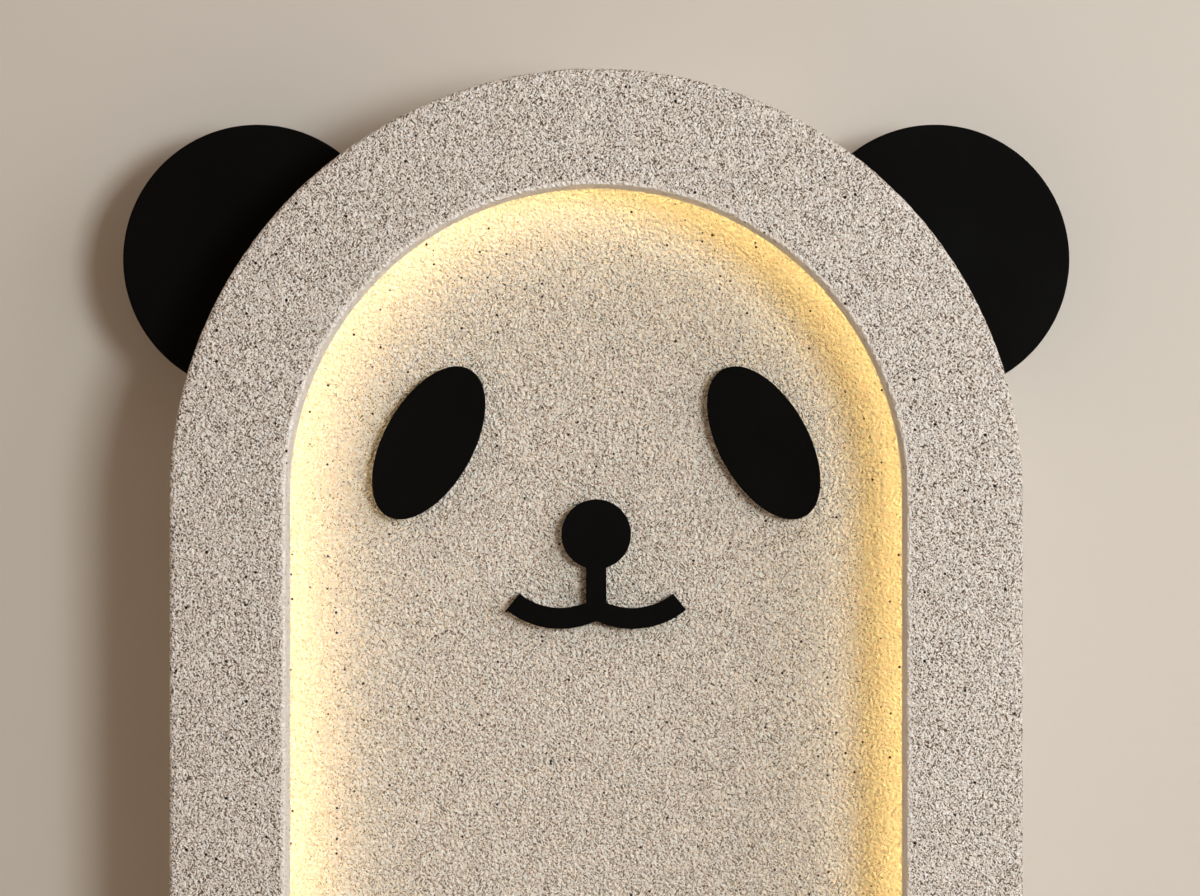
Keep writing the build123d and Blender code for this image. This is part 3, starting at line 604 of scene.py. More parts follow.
@dataclass(frozen=True)
class ZincPlate(Finish):
    """Rolled sheet steel, thinly plated with bright zinc: even grey, soft clouds and faint rolling lines."""

    pale: str = "b9bdc1"
    cloud_mm: float = 14.0
    cloud_span: tuple[float, float] = (0.35, 0.65)
    line_mm: float = 0.5  # coarser than real rolling lines of about 0.1 mm, so that they show
    line_length_mm: float = 12.0
    roughness_swing: float = 0.05
    relief_mm: float = 0.008

    def lay(self, tree: NodeTree, shader: Node, place: NodeSocket) -> None:
        """Add the plating's clouds to colour and the rolling lines to roughness and relief.

        Args:
            tree: the material's node tree.
            shader: its shader.
            place: the place on the object.
        """
        clouds = add_node(
            tree, "TexNoise", {"Vector": place, "Scale": 1 / (self.cloud_mm * MM), "Detail": 4.0}
        )["Fac"]
        self.tint(tree, shader, clouds, self.cloud_span, self.pale)
        scale = (self.line_mm * MM, self.line_mm * MM, self.line_length_mm * MM)
        rolled = add_node(tree, "Mapping", {"Vector": place, "Scale": scale}, vector_type="TEXTURE")
        lines = add_node(tree, "TexNoise", {"Vector": rolled[0], "Scale": 1.0, "Detail": 2.0})["Fac"]
        self.texture(tree, shader, lines, lines)


@dataclass(frozen=True)
class BlackAcrylic(Finish):
    """Satin black acrylic sheet: a fine rolled grain dulls its shine, and a little pale dust lies on it."""

    dust: str = "5a5148"
    dust_share: float = 0.35
    speck_spacing_mm: float = 3.4
    speck_radius_mm: float = 0.238
    speck_luck: float = 0.6  # the share of the places that hold no speck
    speck_edge: float = 0.03
    grain_mm: float = 0.35  # coarser than the real grain of about 0.1 mm, so that it shows
    cloud_mm: float = 24.0
    roughness_swing: float = 0.05
    relief_mm: float = 0.012

    def lay(self, tree: NodeTree, shader: Node, place: NodeSocket) -> None:
        """Add dust specks, uneven shine and the rolled grain.

        Args:
            tree: the material's node tree.
            shader: its shader.
            place: the place on the object.
        """
        specks = add_node(tree, "TexVoronoi", {"Vector": place, "Scale": 1 / (self.speck_spacing_mm * MM)})
        luck = add_node(tree, "SeparateColor", {"Color": specks["Color"]})[1]
        size = add_node(
            tree, "MapRange",
            {
                "Value": luck, "From Min": self.speck_luck, "From Max": 1.0,
                "To Min": 0.0, "To Max": self.speck_radius_mm / self.speck_spacing_mm,
            },
        )[0]
        inside = add_node(tree, "Math", {0: size, 1: specks["Distance"]}, operation="SUBTRACT")[0]
        self.tint(tree, shader, inside, (0.0, self.speck_edge), self.dust, self.dust_share)
        grain, clouds = (
            add_node(tree, "TexNoise", {"Vector": place, "Scale": 1 / (size * MM), "Detail": 2.0})["Fac"]
            for size in (self.grain_mm, self.cloud_mm)
        )
        self.texture(tree, shader, clouds, grain)


@dataclass(frozen=True)
class Phosphor(Finish):
    """Silicone with yellow phosphor over LED chips, lit: an even warm glow on a slightly wavy bead."""

    glow: str = "ffe89e"
    strength: float = 14.7
    wave_mm: float = 2.5
    relief_mm: float = 0.05

    def lay(self, tree: NodeTree, shader: Node, place: NodeSocket) -> None:
        """Add the glow and the bead's waves.

        Args:
            tree: the material's node tree.
            shader: its shader.
            place: the place on the object.
        """
        shader.inputs["Emission Color"].default_value = linear(self.glow)
        shader.inputs["Emission Strength"].default_value = self.strength
        wave = add_node(
            tree, "TexNoise", {"Vector": place, "Scale": 1 / (self.wave_mm * MM), "Detail": 1.0}
        )["Fac"]
        self.raise_relief(tree, shader, wave)


@dataclass(frozen=True)
class EarthStripe(Finish):
    """Smooth green silicone lead cover with yellow bands, as a stripe that winds round it shows."""

    stripe: str = "d8c21c"
    stripe_pitch_mm: float = 36.0  # along the lead
    stripe_span: tuple[float, float] = (0.45, 0.55)  # a nearly sharp edge

    def lay(self, tree: NodeTree, shader: Node, place: NodeSocket) -> None:
        """Add the stripe.

        Args:
            tree: the material's node tree.
            shader: its shader.
            place: the place on the object.
        """
        bands = add_node(
            tree, "TexWave",
            {
                "Vector": place, "Scale": math.tau / (DIAGONAL_BANDS * self.stripe_pitch_mm * MM),
                "Distortion": 0.0,
            },
            wave_type="BANDS", bands_direction="DIAGONAL",
        )["Fac"]
        self.tint(tree, shader, bands, self.stripe_span, self.stripe)


# Stone-effect paint on the frame: a dry, warm white, closely broken by painted brown shade in its hollows,
# painted highlights on its crests, and dark chips.
STONE = StoneCoat("sprayed_stone_coat", "f3e3d2", 0.92, ior=1.45, specular=0.25)
# The same paint on the panel, warmer and a little coarser, with painted light towards the lip: plainer and
# paler where the glow falls.
FINE_STONE = StoneCoat(
    "fine_stone_coat", "ffe9d2", 0.92, ior=1.45, specular=0.25, shade="4d3822", pale="fffcf0",
    painted_shade_span=(-0.062, -0.088), painted_highlight_span=(0.0, 0.045), chip_spacing_mm=2.6, chip_radius_mm=0.42,
    chip_share=0.36, grain_mm=1.0, grain_share=1.35, painted_light_span_mm=(0.0, -34.0), painted_light_stroke_share=0.42,
    painted_light_height=0.0,
)
# Cut acrylic sheet: a deep black with a weak, broad shine.
BLACK = BlackAcrylic("matt_black_acrylic", "080706", 0.66, ior=1.49, specular=0.03)
# Glass-filled resin, moulded: an off-white, nearly matt skin.
RESIN = Speckle("moulded_resin", "f2eee6", 0.6, tone="e9e4da")
# Polyester powder on folded steel: light grey with a faint orange peel.
PAN = Speckle("powder_coat", "d9d8d4", 0.5, tone="cccbc6", relief_pitch_mm=1.4, relief_mm=0.05)
# Rolled aluminium sheet: pale, with a shine drawn out along the lines.
PANEL = DrawnMetal("rolled_aluminium", "c3c4c6", 0.36, metallic=1.0)
# Extruded and anodised aluminium: a finer, softer shine.
CHANNEL = DrawnMetal("anodised_aluminium", "c8c9cb", 0.32, metallic=1.0, line_mm=0.15)
# Zinc-plated sheet: a bluish grey metal that mirrors softly.
ZINC = ZincPlate("zinc_plated_steel", "a4a8ab", 0.36, metallic=1.0)
# Turned steel with bright zinc: small sharp glints.
SCREW = DrawnMetal("turned_zinc_steel", "b9bcc0", 0.28, metallic=1.0, along=Along.X, stretch=4.0)
# Turned brass: a warm yellow metal with sharp glints.
BRASS = DrawnMetal("turned_brass", "c9a04e", 0.26, metallic=1.0, along=Along.X, stretch=4.0)
# Moulded rubber: dark grey, with almost no shine.
PAD_RUBBER = Speckle("pad_rubber", "2c2a28", 0.8, tone="3a3734", relief_pitch_mm=0.5, relief_mm=0.04)
# Acrylic foam tape: dark, dull and slightly pitted.
FOAM = Speckle("adhesive_foam", "3b3a38", 0.9, tone="4a4845", relief_pitch_mm=0.35, relief_mm=0.08)
# White solder mask on a flexible circuit: a smooth warm white.
TAPE = Speckle("led_circuit_white", "ece9e0", 0.45, tone="ded9cc", cloud_mm=6.0)
# Cast silicone with phosphor: the lamp's own warm light.
PHOSPHOR = Phosphor("lit_phosphor_bead", "f0cf5a", 0.4, ior=1.41)
# Moulded polycarbonate: an even grey with a satin skin.
CAP = Speckle("cap_polycarbonate", "c6c7c7", 0.5, tone="b8b9b9", relief_pitch_mm=0.6)
# Moulded polycarbonate: white, a little glossier than the resin.
DRIVER = Speckle("driver_polycarbonate", "eceae4", 0.42, tone="e0ddd5", relief_pitch_mm=0.6)
# Moulded polyamide: cream, with a satin skin.
TERMINAL = Speckle("terminal_polyamide", "e4ddc9", 0.5, tone="d9d0b8", relief_pitch_mm=0.7)
# Moulded rubber: black, with a faint shine.
GROMMET = Speckle("grommet_rubber", "1d1c1b", 0.7, tone="282625", relief_pitch_mm=0.6)
# Extruded silicone lead covers: plain colours with a soft shine, the earth's with its stripe.
LEAD_BROWN = Speckle("silicone_lead_brown", "5b3620", 0.45, tone="4f2e1b", cloud_mm=9.0)
LEAD_BLUE = Speckle("silicone_lead_blue", "2a5fae", 0.45, tone="25559c", cloud_mm=9.0)
LEAD_GREEN = EarthStripe("silicone_lead_green_yellow", "2f8a3a", 0.45)
LEAD_WHITE = Speckle("silicone_lead_white", "e6e5e1", 0.45, tone="d9d8d3", cloud_mm=9.0)

CARRIED_OVER = {
    ZINC: ("wall_bracket", "cable_clamp"),
    BRASS: ("screw_insert",),
    RESIN: ("frame_shell",),
    PAD_RUBBER: ("wall_pads",),
    PAN: ("back_pan",),
    PANEL: ("face_panel", "panel_spacers"),
    SCREW: ("panel_studs", "ear_screws", "channel_screws", "terminal_screws", "earth_stud"),
    BLACK: ("left_ear", "right_ear", "left_eye", "right_eye", "nose_mouth"),
    FOAM: ("feature_pads",),
    CHANNEL: ("led_channel",),
    TAPE: ("led_tape",),
    PHOSPHOR: ("led_phosphor",),
    CAP: ("led_end_caps",),
    DRIVER: ("led_driver",),
    TERMINAL: ("terminal_block",),
    GROMMET: ("cable_grommet",),
    LEAD_BROWN: ("live_lead",),
    LEAD_BLUE: ("neutral_lead",),
    LEAD_GREEN: ("earth_lead",),
    LEAD_WHITE: ("led_lead",),
}


# ---------------------------------------------------------------- the body's outline


@dataclass(frozen=True)
class ArchOutline:
    """The body's arch with a flat foot, drawn in by an inset, as stations along it."""

    half_width: float
    foot_z: float
    top_z: float
    border: float = 33.0 * MM
    outer_corner: float = 14.0 * MM
    inner_corner: float = 8.0 * MM
    crown_steps: int = 420
    side_steps: int = 250
    corner_steps: int = 18
    foot_steps: int = 230

    @property
    def arch_z(self) -> float:
        """Height of the arch's centre."""
        return self.top_z - self.half_width

    @property
    def stations(self) -> int:
        """How many stations there are round the outline."""
        return self.crown_steps + 2 * (self.side_steps + self.corner_steps) + self.foot_steps

    def measures(self, inset: float) -> tuple[float, float, float]:
        """Half width, height of the foot and radius of the foot's corners at an inset."""
        radius = self.outer_corner + (self.inner_corner - self.outer_corner) * inset / self.border
        return self.half_width - inset, self.foot_z + inset, radius

    def at(self, station: int, inset: float) -> Vector:
        """Where a station lies.

        Args:
            station: its number, counted from the arch's right end over the crown.
            inset: how far in from the body's outline.

        Returns:
            The point in the wall's plane.
        """
        half, foot, radius = self.measures(inset)
        drop = self.arch_z - foot - radius
        left = station % self.stations

        def bend(side: float, turn: float) -> Vector:
            """The place on one of the foot's corners.

            Args:
                side: 1 for the corner on the right and -1 for the one on the left.
                turn: where its arc starts, in half turns.

            Returns:
                The point in the wall's plane.
            """
            angle = math.pi * (turn + 0.5 * left / self.corner_steps)
            middle = Vector((side * (half - radius), 0.0, foot + radius))
            return middle + Vector((radius * math.cos(angle), 0.0, radius * math.sin(angle)))

        if left < self.crown_steps:
            angle = math.pi * left / self.crown_steps
            return Vector((half * math.cos(angle), 0.0, self.arch_z + half * math.sin(angle)))
        left -= self.crown_steps
        if left < self.side_steps:
            return Vector((-half, 0.0, self.arch_z - drop * left / self.side_steps))
        left -= self.side_steps
        if left < self.corner_steps:
            return bend(-1.0, 1.0)
        left -= self.corner_steps
        if left < self.foot_steps:
            return Vector((radius - half + 2 * (half - radius) * left / self.foot_steps, 0.0, foot))
        left -= self.foot_steps
        if left < self.corner_steps:
            return bend(1.0, 1.5)
        left -= self.corner_steps
        return Vector((half, 0.0, foot + radius + drop * left / self.side_steps))

    def snapped(self, point: Vector, inset: float) -> Vector:
        """The point of the outline at an inset that lies nearest to a point beside it.

        Args:
            point: a point near the outline, in any plane parallel to the wall.
            inset: how far in the outline is drawn.

        Returns:
            The point moved onto the outline.
        """
        half, foot, radius = self.measures(inset)
        side = math.copysign(1.0, point.x)
        if point.z > self.arch_z:
            middle, reach = Vector((0.0, point.y, self.arch_z)), half
        elif abs(point.x) > half - radius and point.z < foot + radius:
            middle, reach = Vector((side * (half - radius), point.y, foot + radius)), radius
        elif half - abs(point.x) < point.z - foot:
            return Vector((side * half, point.y, point.z))
        else:
            return Vector((point.x, point.y, foot))
        return middle + (point - middle).normalized() * reach

    def holds(self, x: float, z: float, inset: float) -> bool:
        """Whether a place lies inside the outline.

        Args:
            x: how far right it lies.
            z: how high it lies.
            inset: how far in the outline is drawn.

        Returns:
            True for a place inside.
        """
        half, foot, radius = self.measures(inset)
        if z > self.arch_z:
            return math.hypot(x, z - self.arch_z) < half
        if abs(x) > half - radius and z < foot + radius:
            return math.hypot(abs(x) - half + radius, z - foot - radius) < radius
        return abs(x) < half and z > foot


LUMP_PITCH = 5.5 * MM
LUMP_DEPTH = 0.16 * MM
GRIT_PITCH = 1.9 * MM
GRIT_DEPTH = 0.24 * MM
GRIT_SHIFT = Vector((7.0, 3.0, 5.0))  # so that the grit's pattern isn't the lumps' made smaller
COAT_SHARP_ABOVE = 60.0  # the grit's own edges stay smooth


def stone_depth(point: Vector) -> float:
    """How far the coat lies under its nominal face: lumps of the spray, and grit on them.

    Args:
        point: the place on the face.

    Returns:
        The depth.
    """
    lumps = 0.5 + 0.5 * noise.noise(point / LUMP_PITCH)
    grit = 0.5 + 0.5 * noise.noise(point / GRIT_PITCH + GRIT_SHIFT)
    return LUMP_DEPTH * lumps + GRIT_DEPTH * grit


# ---------------------------------------------------------------- stone-coated pieces


@dataclass
class FrameCoat:
    """The sprayed coat over the frame's side, front and lip, as one closed skin with relief."""

    outline: ArchOutline
    front: float
    back: float
    lip_back: float
    thickness: float = 1.0 * MM
    outer_arris: float = 1.6 * MM
    inner_arris: float = 1.2 * MM
    side_steps: int = 19
    front_steps: int = 33
    lip_steps: int = 8
    arris_steps: int = 4
    screw_hole_radius: float = 4.5 * MM
    screw_level: float = 13.5 * MM
    drill_depth: float = 8.0 * MM
    drill_steps: int = 48

    def section(self) -> list[tuple[float, float, bool]]:
        """The coat's closed section.

        Returns:
            The inset and the level of each point, and whether it is on the outer skin.
        """
        border = self.outline.border
        level = self.front
        points = []
        rise = level - self.outer_arris - self.back
        for i in range(self.side_steps):
            points.append((0.0, self.back + rise * i / self.side_steps, True))
        for i in range(self.arris_steps):
            turn = math.pi / 2 * i / self.arris_steps
            inset = self.outer_arris * (1 - math.cos(turn))
            points.append((inset, level - self.outer_arris * (1 - math.sin(turn)), True))
        run = border - self.outer_arris - self.inner_arris
        for i in range(self.front_steps):
            points.append((self.outer_arris + run * i / self.front_steps, level, True))
        for i in range(self.arris_steps):
            turn = math.pi / 2 * i / self.arris_steps
            inset = border - self.inner_arris * (1 - math.sin(turn))
            points.append((inset, level - self.inner_arris * (1 - math.cos(turn)), True))
        drop = level - self.inner_arris - self.lip_back
        for i in range(self.lip_steps):
            points.append((border, level - self.inner_arris - drop * i / self.lip_steps, True))
        inner = border - self.thickness
        points += [(border, self.lip_back, False), (inner, self.lip_back, False)]
        points += [(inner, level - self.thickness, False), (self.thickness, level - self.thickness, False)]
        return [*points, (self.thickness, self.back, False)]

    def key(self, point: Vector) -> tuple[float, ...]:
        """A point's name, which it keeps when points in the same place become one."""
        return tuple(round(part, KEY_DIGITS) for part in point)

    def build(self, material: Material) -> Object:
        """Make the coat.

        Args:
            material: the stone finish.

        Returns:
            The piece, riding on the lamp.
        """
        section = self.section()
        rows = len(section)
        stations = self.outline.stations
        bm = bmesh.new()
        bmesh.ops.create_grid(bm, x_segments=stations, y_segments=rows, size=1.0)
        skin = set()
        for vert in bm.verts:
            station = round((vert.co.x + 1) / 2 * stations)
            inset, level, on_skin = section[round((vert.co.y + 1) / 2 * rows) % rows]
            vert.co = self.outline.at(station, inset) + ROOM * level
            if on_skin:
                skin.add(self.key(vert.co))
        bmesh.ops.remove_doubles(bm, verts=bm.verts, dist=SAME_PLACE)
        bmesh.ops.recalc_face_normals(bm, faces=bm.faces)
        bm.normal_update()
        for vert in bm.verts:
            if self.key(vert.co) in skin:
                vert.co -= vert.normal * stone_depth(vert.co)
        drill = bmesh.new()
        bmesh.ops.create_cone(
            drill, cap_ends=True, segments=self.drill_steps, radius1=self.screw_hole_radius,
            radius2=self.screw_hole_radius, depth=self.drill_depth,
            matrix=Matrix.Translation((0.0, -self.screw_level, self.outline.foot_z)),
        )
        bm = carve(bm, drill)
        piece = make_piece(bm, "frame_stone_coat", material, COAT_SHARP_ABOVE)
        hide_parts("frame_coat")
        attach(piece, "lamp")
        return piece


@dataclass
class PanelCoat:
    """The sprayed coat on the face panel, as one closed slab with relief on its front."""

    outline: ArchOutline
    front: float
    back: float
    inset: float = 16.0 * MM
    pitch: float = 1.0 * MM

    def build(self, material: Material) -> Object:
        """Make the coat.

        Args:
            material: the stone finish.

        Returns:
            The piece, riding on the lamp.
        """
        low = self.outline.foot_z + self.inset
        high = self.outline.top_z - self.inset
        half = self.outline.half_width - self.inset
        middle = Vector((0.0, -self.front, (low + high) / 2))
        scale = Matrix.Diagonal((half, (high - low) / 2, 1.0, 1.0))
        upright = Matrix.Rotation(math.pi / 2, 4, "X")
        bm = bmesh.new()
        bmesh.ops.create_grid(
            bm, size=1.0, matrix=Matrix.Translation(middle) @ upright @ scale,
            x_segments=round(2 * half / self.pitch), y_segments=round((high - low) / self.pitch),
        )
        outside = [
            face for face in bm.faces
            if not self.outline.holds(*face.calc_center_median().xz, self.inset + self.pitch / 2)
        ]
        bmesh.ops.delete(bm, geom=outside, context="FACES")
        rim = [vert for vert in bm.verts if vert.is_boundary]
        for vert in rim:
            vert.co = self.outline.snapped(vert.co, self.inset)
        edge = set(rim)
        for vert in bm.verts:
            if vert not in edge:
                vert.co.y += stone_depth(vert.co)
        border = [e for e in bm.edges if e.is_boundary]
        wall = bmesh.ops.extrude_edge_only(bm, edges=border)["geom"]
        far = [part for part in wall if isinstance(part, BMVert)]
        bmesh.ops.translate(bm, vec=WALL * (self.front - self.back), verts=far)
        bmesh.ops.contextual_create(bm, geom=[e for e in bm.edges if e.is_boundary])
        merge_slivers(bm)
        bmesh.ops.recalc_face_normals(bm, faces=bm.faces)
        piece = make_piece(bm, "panel_stone_coat", material, COAT_SHARP_ABOVE)
        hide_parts("panel_coat")
        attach(piece, "lamp")
        return piece


# ---------------------------------------------------------------- fasteners


class Drive(Enum):
    """What a screw's head is turned by; the value is how many sides its recess has."""

    CROSS = 4
    SOCKET = 6


@dataclass(frozen=True)
class Screw:
    """A pan-head screw with its recess and a real thread, along +Z with the head's seat at the origin."""

    head_radius: float
    head_height: float
    radius: float
    pitch: float
    drive: Drive = Drive.CROSS
    crown_share: float = 0.4
    recess_share: float = 0.62  # of the head's radius and of its height
    arm_taper: float = 0.55
    arm_length: float = 1.5
    arm_width: float = 0.42
    tip: float = 0.8 * MM
    tip_share: float = 0.5  # of the core's radius
    thread_depth: float = 0.6  # this and the next three are shares of the pitch
    thread_sunk: float = 0.15
    thread_rises: tuple[float, ...] = (0.0, 0.42, 0.54, 0.96)
    thread_start: float = 0.3
    thread_end: float = 0.6  # of the tip's length
    turn_steps: int = 20
    head_steps: int = 40
    crown_steps: int = 4

    @property
    def core(self) -> float:
        """Radius at the thread's root."""
        return self.radius - self.thread_depth * self.pitch

    def thread(self, low: float, high: float) -> BMesh:
        """The helical ridge.

        Args:
            low: the height where it starts.
            high: the height where it ends.

        Returns:
            The ridge as a closed form, sunk a little into the core.
        """
        bm = bmesh.new()
        root = self.core - self.thread_sunk * self.pitch
        profile = zip((root, self.radius, self.radius, root), self.thread_rises)
        verts = [bm.verts.new((reach, 0.0, low + rise * self.pitch)) for reach, rise in profile]
        edges = [bm.edges.new(pair) for pair in zip(verts, [*verts[1:], verts[0]])]
        turns = (high - low) / self.pitch - 1
        steps = round(turns * self.turn_steps)
        bmesh.ops.spin(
            bm, geom=[*verts, *edges], cent=ORIGIN, axis=UPWARD, dvec=(0, 0, self.pitch * turns / steps),
            angle=math.tau * turns, steps=steps,
        )
        close_up(bm)
        return bm

    def recess(self, turn: float) -> BMesh:
        """One tapered cutter for the drive: the whole socket, or one arm of the cross.

        Args:
            turn: the angle that it is turned by, in radians.

        Returns:
            The cutter, at the top of the head.
        """
        bm = bmesh.new()
        wide = self.recess_share * self.head_radius
        bmesh.ops.create_cone(
            bm, cap_ends=True, segments=self.drive.value, radius1=wide,
            radius2=wide if self.drive is Drive.SOCKET else self.arm_taper * wide,
            depth=2 * (self.recess_share * self.head_height),
        )
        if self.drive is Drive.CROSS:
            bmesh.ops.rotate(bm, verts=bm.verts, cent=ORIGIN, matrix=Matrix.Rotation(math.pi / 4, 3, "Z"))
            bmesh.ops.scale(bm, verts=bm.verts, vec=(self.arm_length, self.arm_width, 1.0))
        turned = Matrix.Translation((0.0, 0.0, -self.head_height)) @ Matrix.Rotation(turn, 4, "Z")
        bmesh.ops.transform(bm, matrix=turned, verts=bm.verts)
        return bm

    def form(self, length: float) -> BMesh:
        """Make the screw.

        Args:
            length: from the head's seat to the tip.

        Returns:
            The whole form.
        """
        crown = self.crown_share * self.head_height
        profile = [(0.0, -self.head_height)]
        for i in range(self.crown_steps + 1):
            turn = math.pi / 2 * i / self.crown_steps
            reach = self.head_radius - crown * (1 - math.sin(turn))
            profile.append((reach, -self.head_height + crown * (1 - math.cos(turn))))
        profile += [(self.head_radius, 0.0), (self.core, 0.0), (self.core, length - self.tip)]
        profile += [(self.tip_share * self.core, length), (0.0, length)]
        body = revolve(profile, self.head_steps)
        for turn in (0.0, math.pi / 2) if self.drive is Drive.CROSS else (0.0,):
            body = carve(body, self.recess(turn))
        ridge = self.thread(self.thread_start * self.pitch, length - self.thread_end * self.tip)
        return gathered([(body, [Matrix()]), (ridge, [Matrix()])])


@dataclass(frozen=True)
class FastenerSet:
    """All the fasteners of one CAD node, which point the same way."""

    node: str
    body: str
    way: Vector
    made: ClassVar[str]

    @property
    def axis(self) -> int:
        """Which axis they lie along."""
        return max(range(3), key=lambda i: abs(self.way[i]))

    def seat(self, low: Vector, high: Vector) -> Vector:
        """Where the form's origin goes in one fastener's box."""
        return (low + high) / 2

    def form(self, length: float) -> BMesh:
        """Make one fastener, as long as its box."""
        raise NotImplementedError

    def build(self, material: Material) -> Object:
        """Make the node's fasteners again in their places.

        Args:
            material: the fasteners' finish.

        Returns:
            The piece, riding on the node's body.
        """
        boxes = solid_boxes(self.node)
        length = boxes[0][1][self.axis] - boxes[0][0][self.axis]
        places = [facing(self.seat(low, high), self.way) for low, high in boxes]
        piece = make_piece(gathered([(self.form(length), places)]), f"{self.node}_{self.made}", material)
        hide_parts(self.node)
        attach(piece, self.body)
        return piece


@dataclass(frozen=True)
class ScrewSet(FastenerSet):
    """Screws, which stand on their heads' seats."""

    screw: Screw
    made: ClassVar[str] = "threaded"

    def seat(self, low: Vector, high: Vector) -> Vector:
        """Where the head's seat is, a head's height in from the end of the box.

        Args:
            low: the box's low corner.
            high: its high corner.

        Returns:
            The middle of the seat.
        """
        seat = (low + high) / 2
        end = low[self.axis] if self.way[self.axis] > 0 else high[self.axis]
        seat[self.axis] = end + math.copysign(self.screw.head_height, self.way[self.axis])
        return seat

    def form(self, length: float) -> BMesh:
        """Make one screw, as long as its box."""
        return self.screw.form(length - self.screw.head_height)


SMALL_SCREW = Screw(head_radius=2.9 * MM, head_height=2.0 * MM, radius=1.45 * MM, pitch=1.1 * MM)
SCREW_SETS = [
    ScrewSet("frame_screws", "lamp", ROOM, Screw(2.9 * MM, 2.2 * MM, 1.25 * MM, 0.9 * MM)),
    ScrewSet("driver_screws", "lamp", WALL, SMALL_SCREW),
    ScrewSet("clamp_screws", "lamp", WALL, SMALL_SCREW),
    ScrewSet("terminal_fixing_screw", "lamp", WALL, SMALL_SCREW),
    ScrewSet(
        "retaining_screw", "retaining_screw", Vector((0.0, 0.0, 1.0)),
        Screw(4.0 * MM, 3.0 * MM, 2.0 * MM, 0.7 * MM, drive=Drive.SOCKET),
    ),
]


@dataclass(frozen=True)
class NutSet(FastenerSet):
    """Hexagonal nuts, with both ends chamfered and a countersunk bore."""

    across_flats: float
    bore_radius: float
    chamfer_share: float = 0.5  # of how far the corners stand out past the flats
    countersink_share: float = 0.18  # of the height
    ring_steps: int = 48
    bore_steps: int = 36
    made: ClassVar[str] = "chamfered"

    def form(self, length: float) -> BMesh:
        """Make one nut.

        Args:
            length: its height.

        Returns:
            The nut, with its middle at the origin.
        """
        flat, rise = self.across_flats / 2, length / 2
        corner = flat / math.cos(math.pi / 6)
        hexagon = bmesh.new()
        bmesh.ops.create_cone(
            hexagon, cap_ends=True, segments=6, radius1=corner, radius2=corner, depth=length
        )
        turned = Matrix.Rotation(math.pi / 6, 3, "Z")
        bmesh.ops.rotate(hexagon, verts=hexagon.verts, cent=ORIGIN, matrix=turned)
        cut = self.chamfer_share * (corner - flat)
        wide = 2 * corner
        ring = revolve(
            [
                (flat, rise + cut), (corner + cut, rise - 2 * cut), (wide, rise - 2 * cut),
                (wide, rise + cut), (flat, rise + cut),
            ],
            self.ring_steps,
        )
        lower = gathered([(ring.copy(), [Matrix.Rotation(math.pi, 4, "X")])])
        bore = self.bore_radius
        sink = self.countersink_share * length
        hole = revolve(
            [
                (0.0, -length), (bore + sink + rise, -length), (bore, sink - rise), (bore, rise - sink),
                (bore + sink + rise, length), (0.0, length),
            ],
            self.bore_steps,
        )
        return carve(carve(carve(hexagon, ring), lower), hole)


NUT_SETS = [
    NutSet("panel_nuts", "lamp", WALL, 5.5 * MM, 1.5 * MM),
    NutSet("earth_nut", "lamp", ROOM, 7.0 * MM, 2.0 * MM),
]


# ---------------------------------------------------------------- stage, lamps and camera


def vector_field(x: float, y: float, z: float) -> Vector:
    """A dataclass field whose start value is a vector of its own."""
    return field(default_factory=lambda: Vector((x, y, z)))


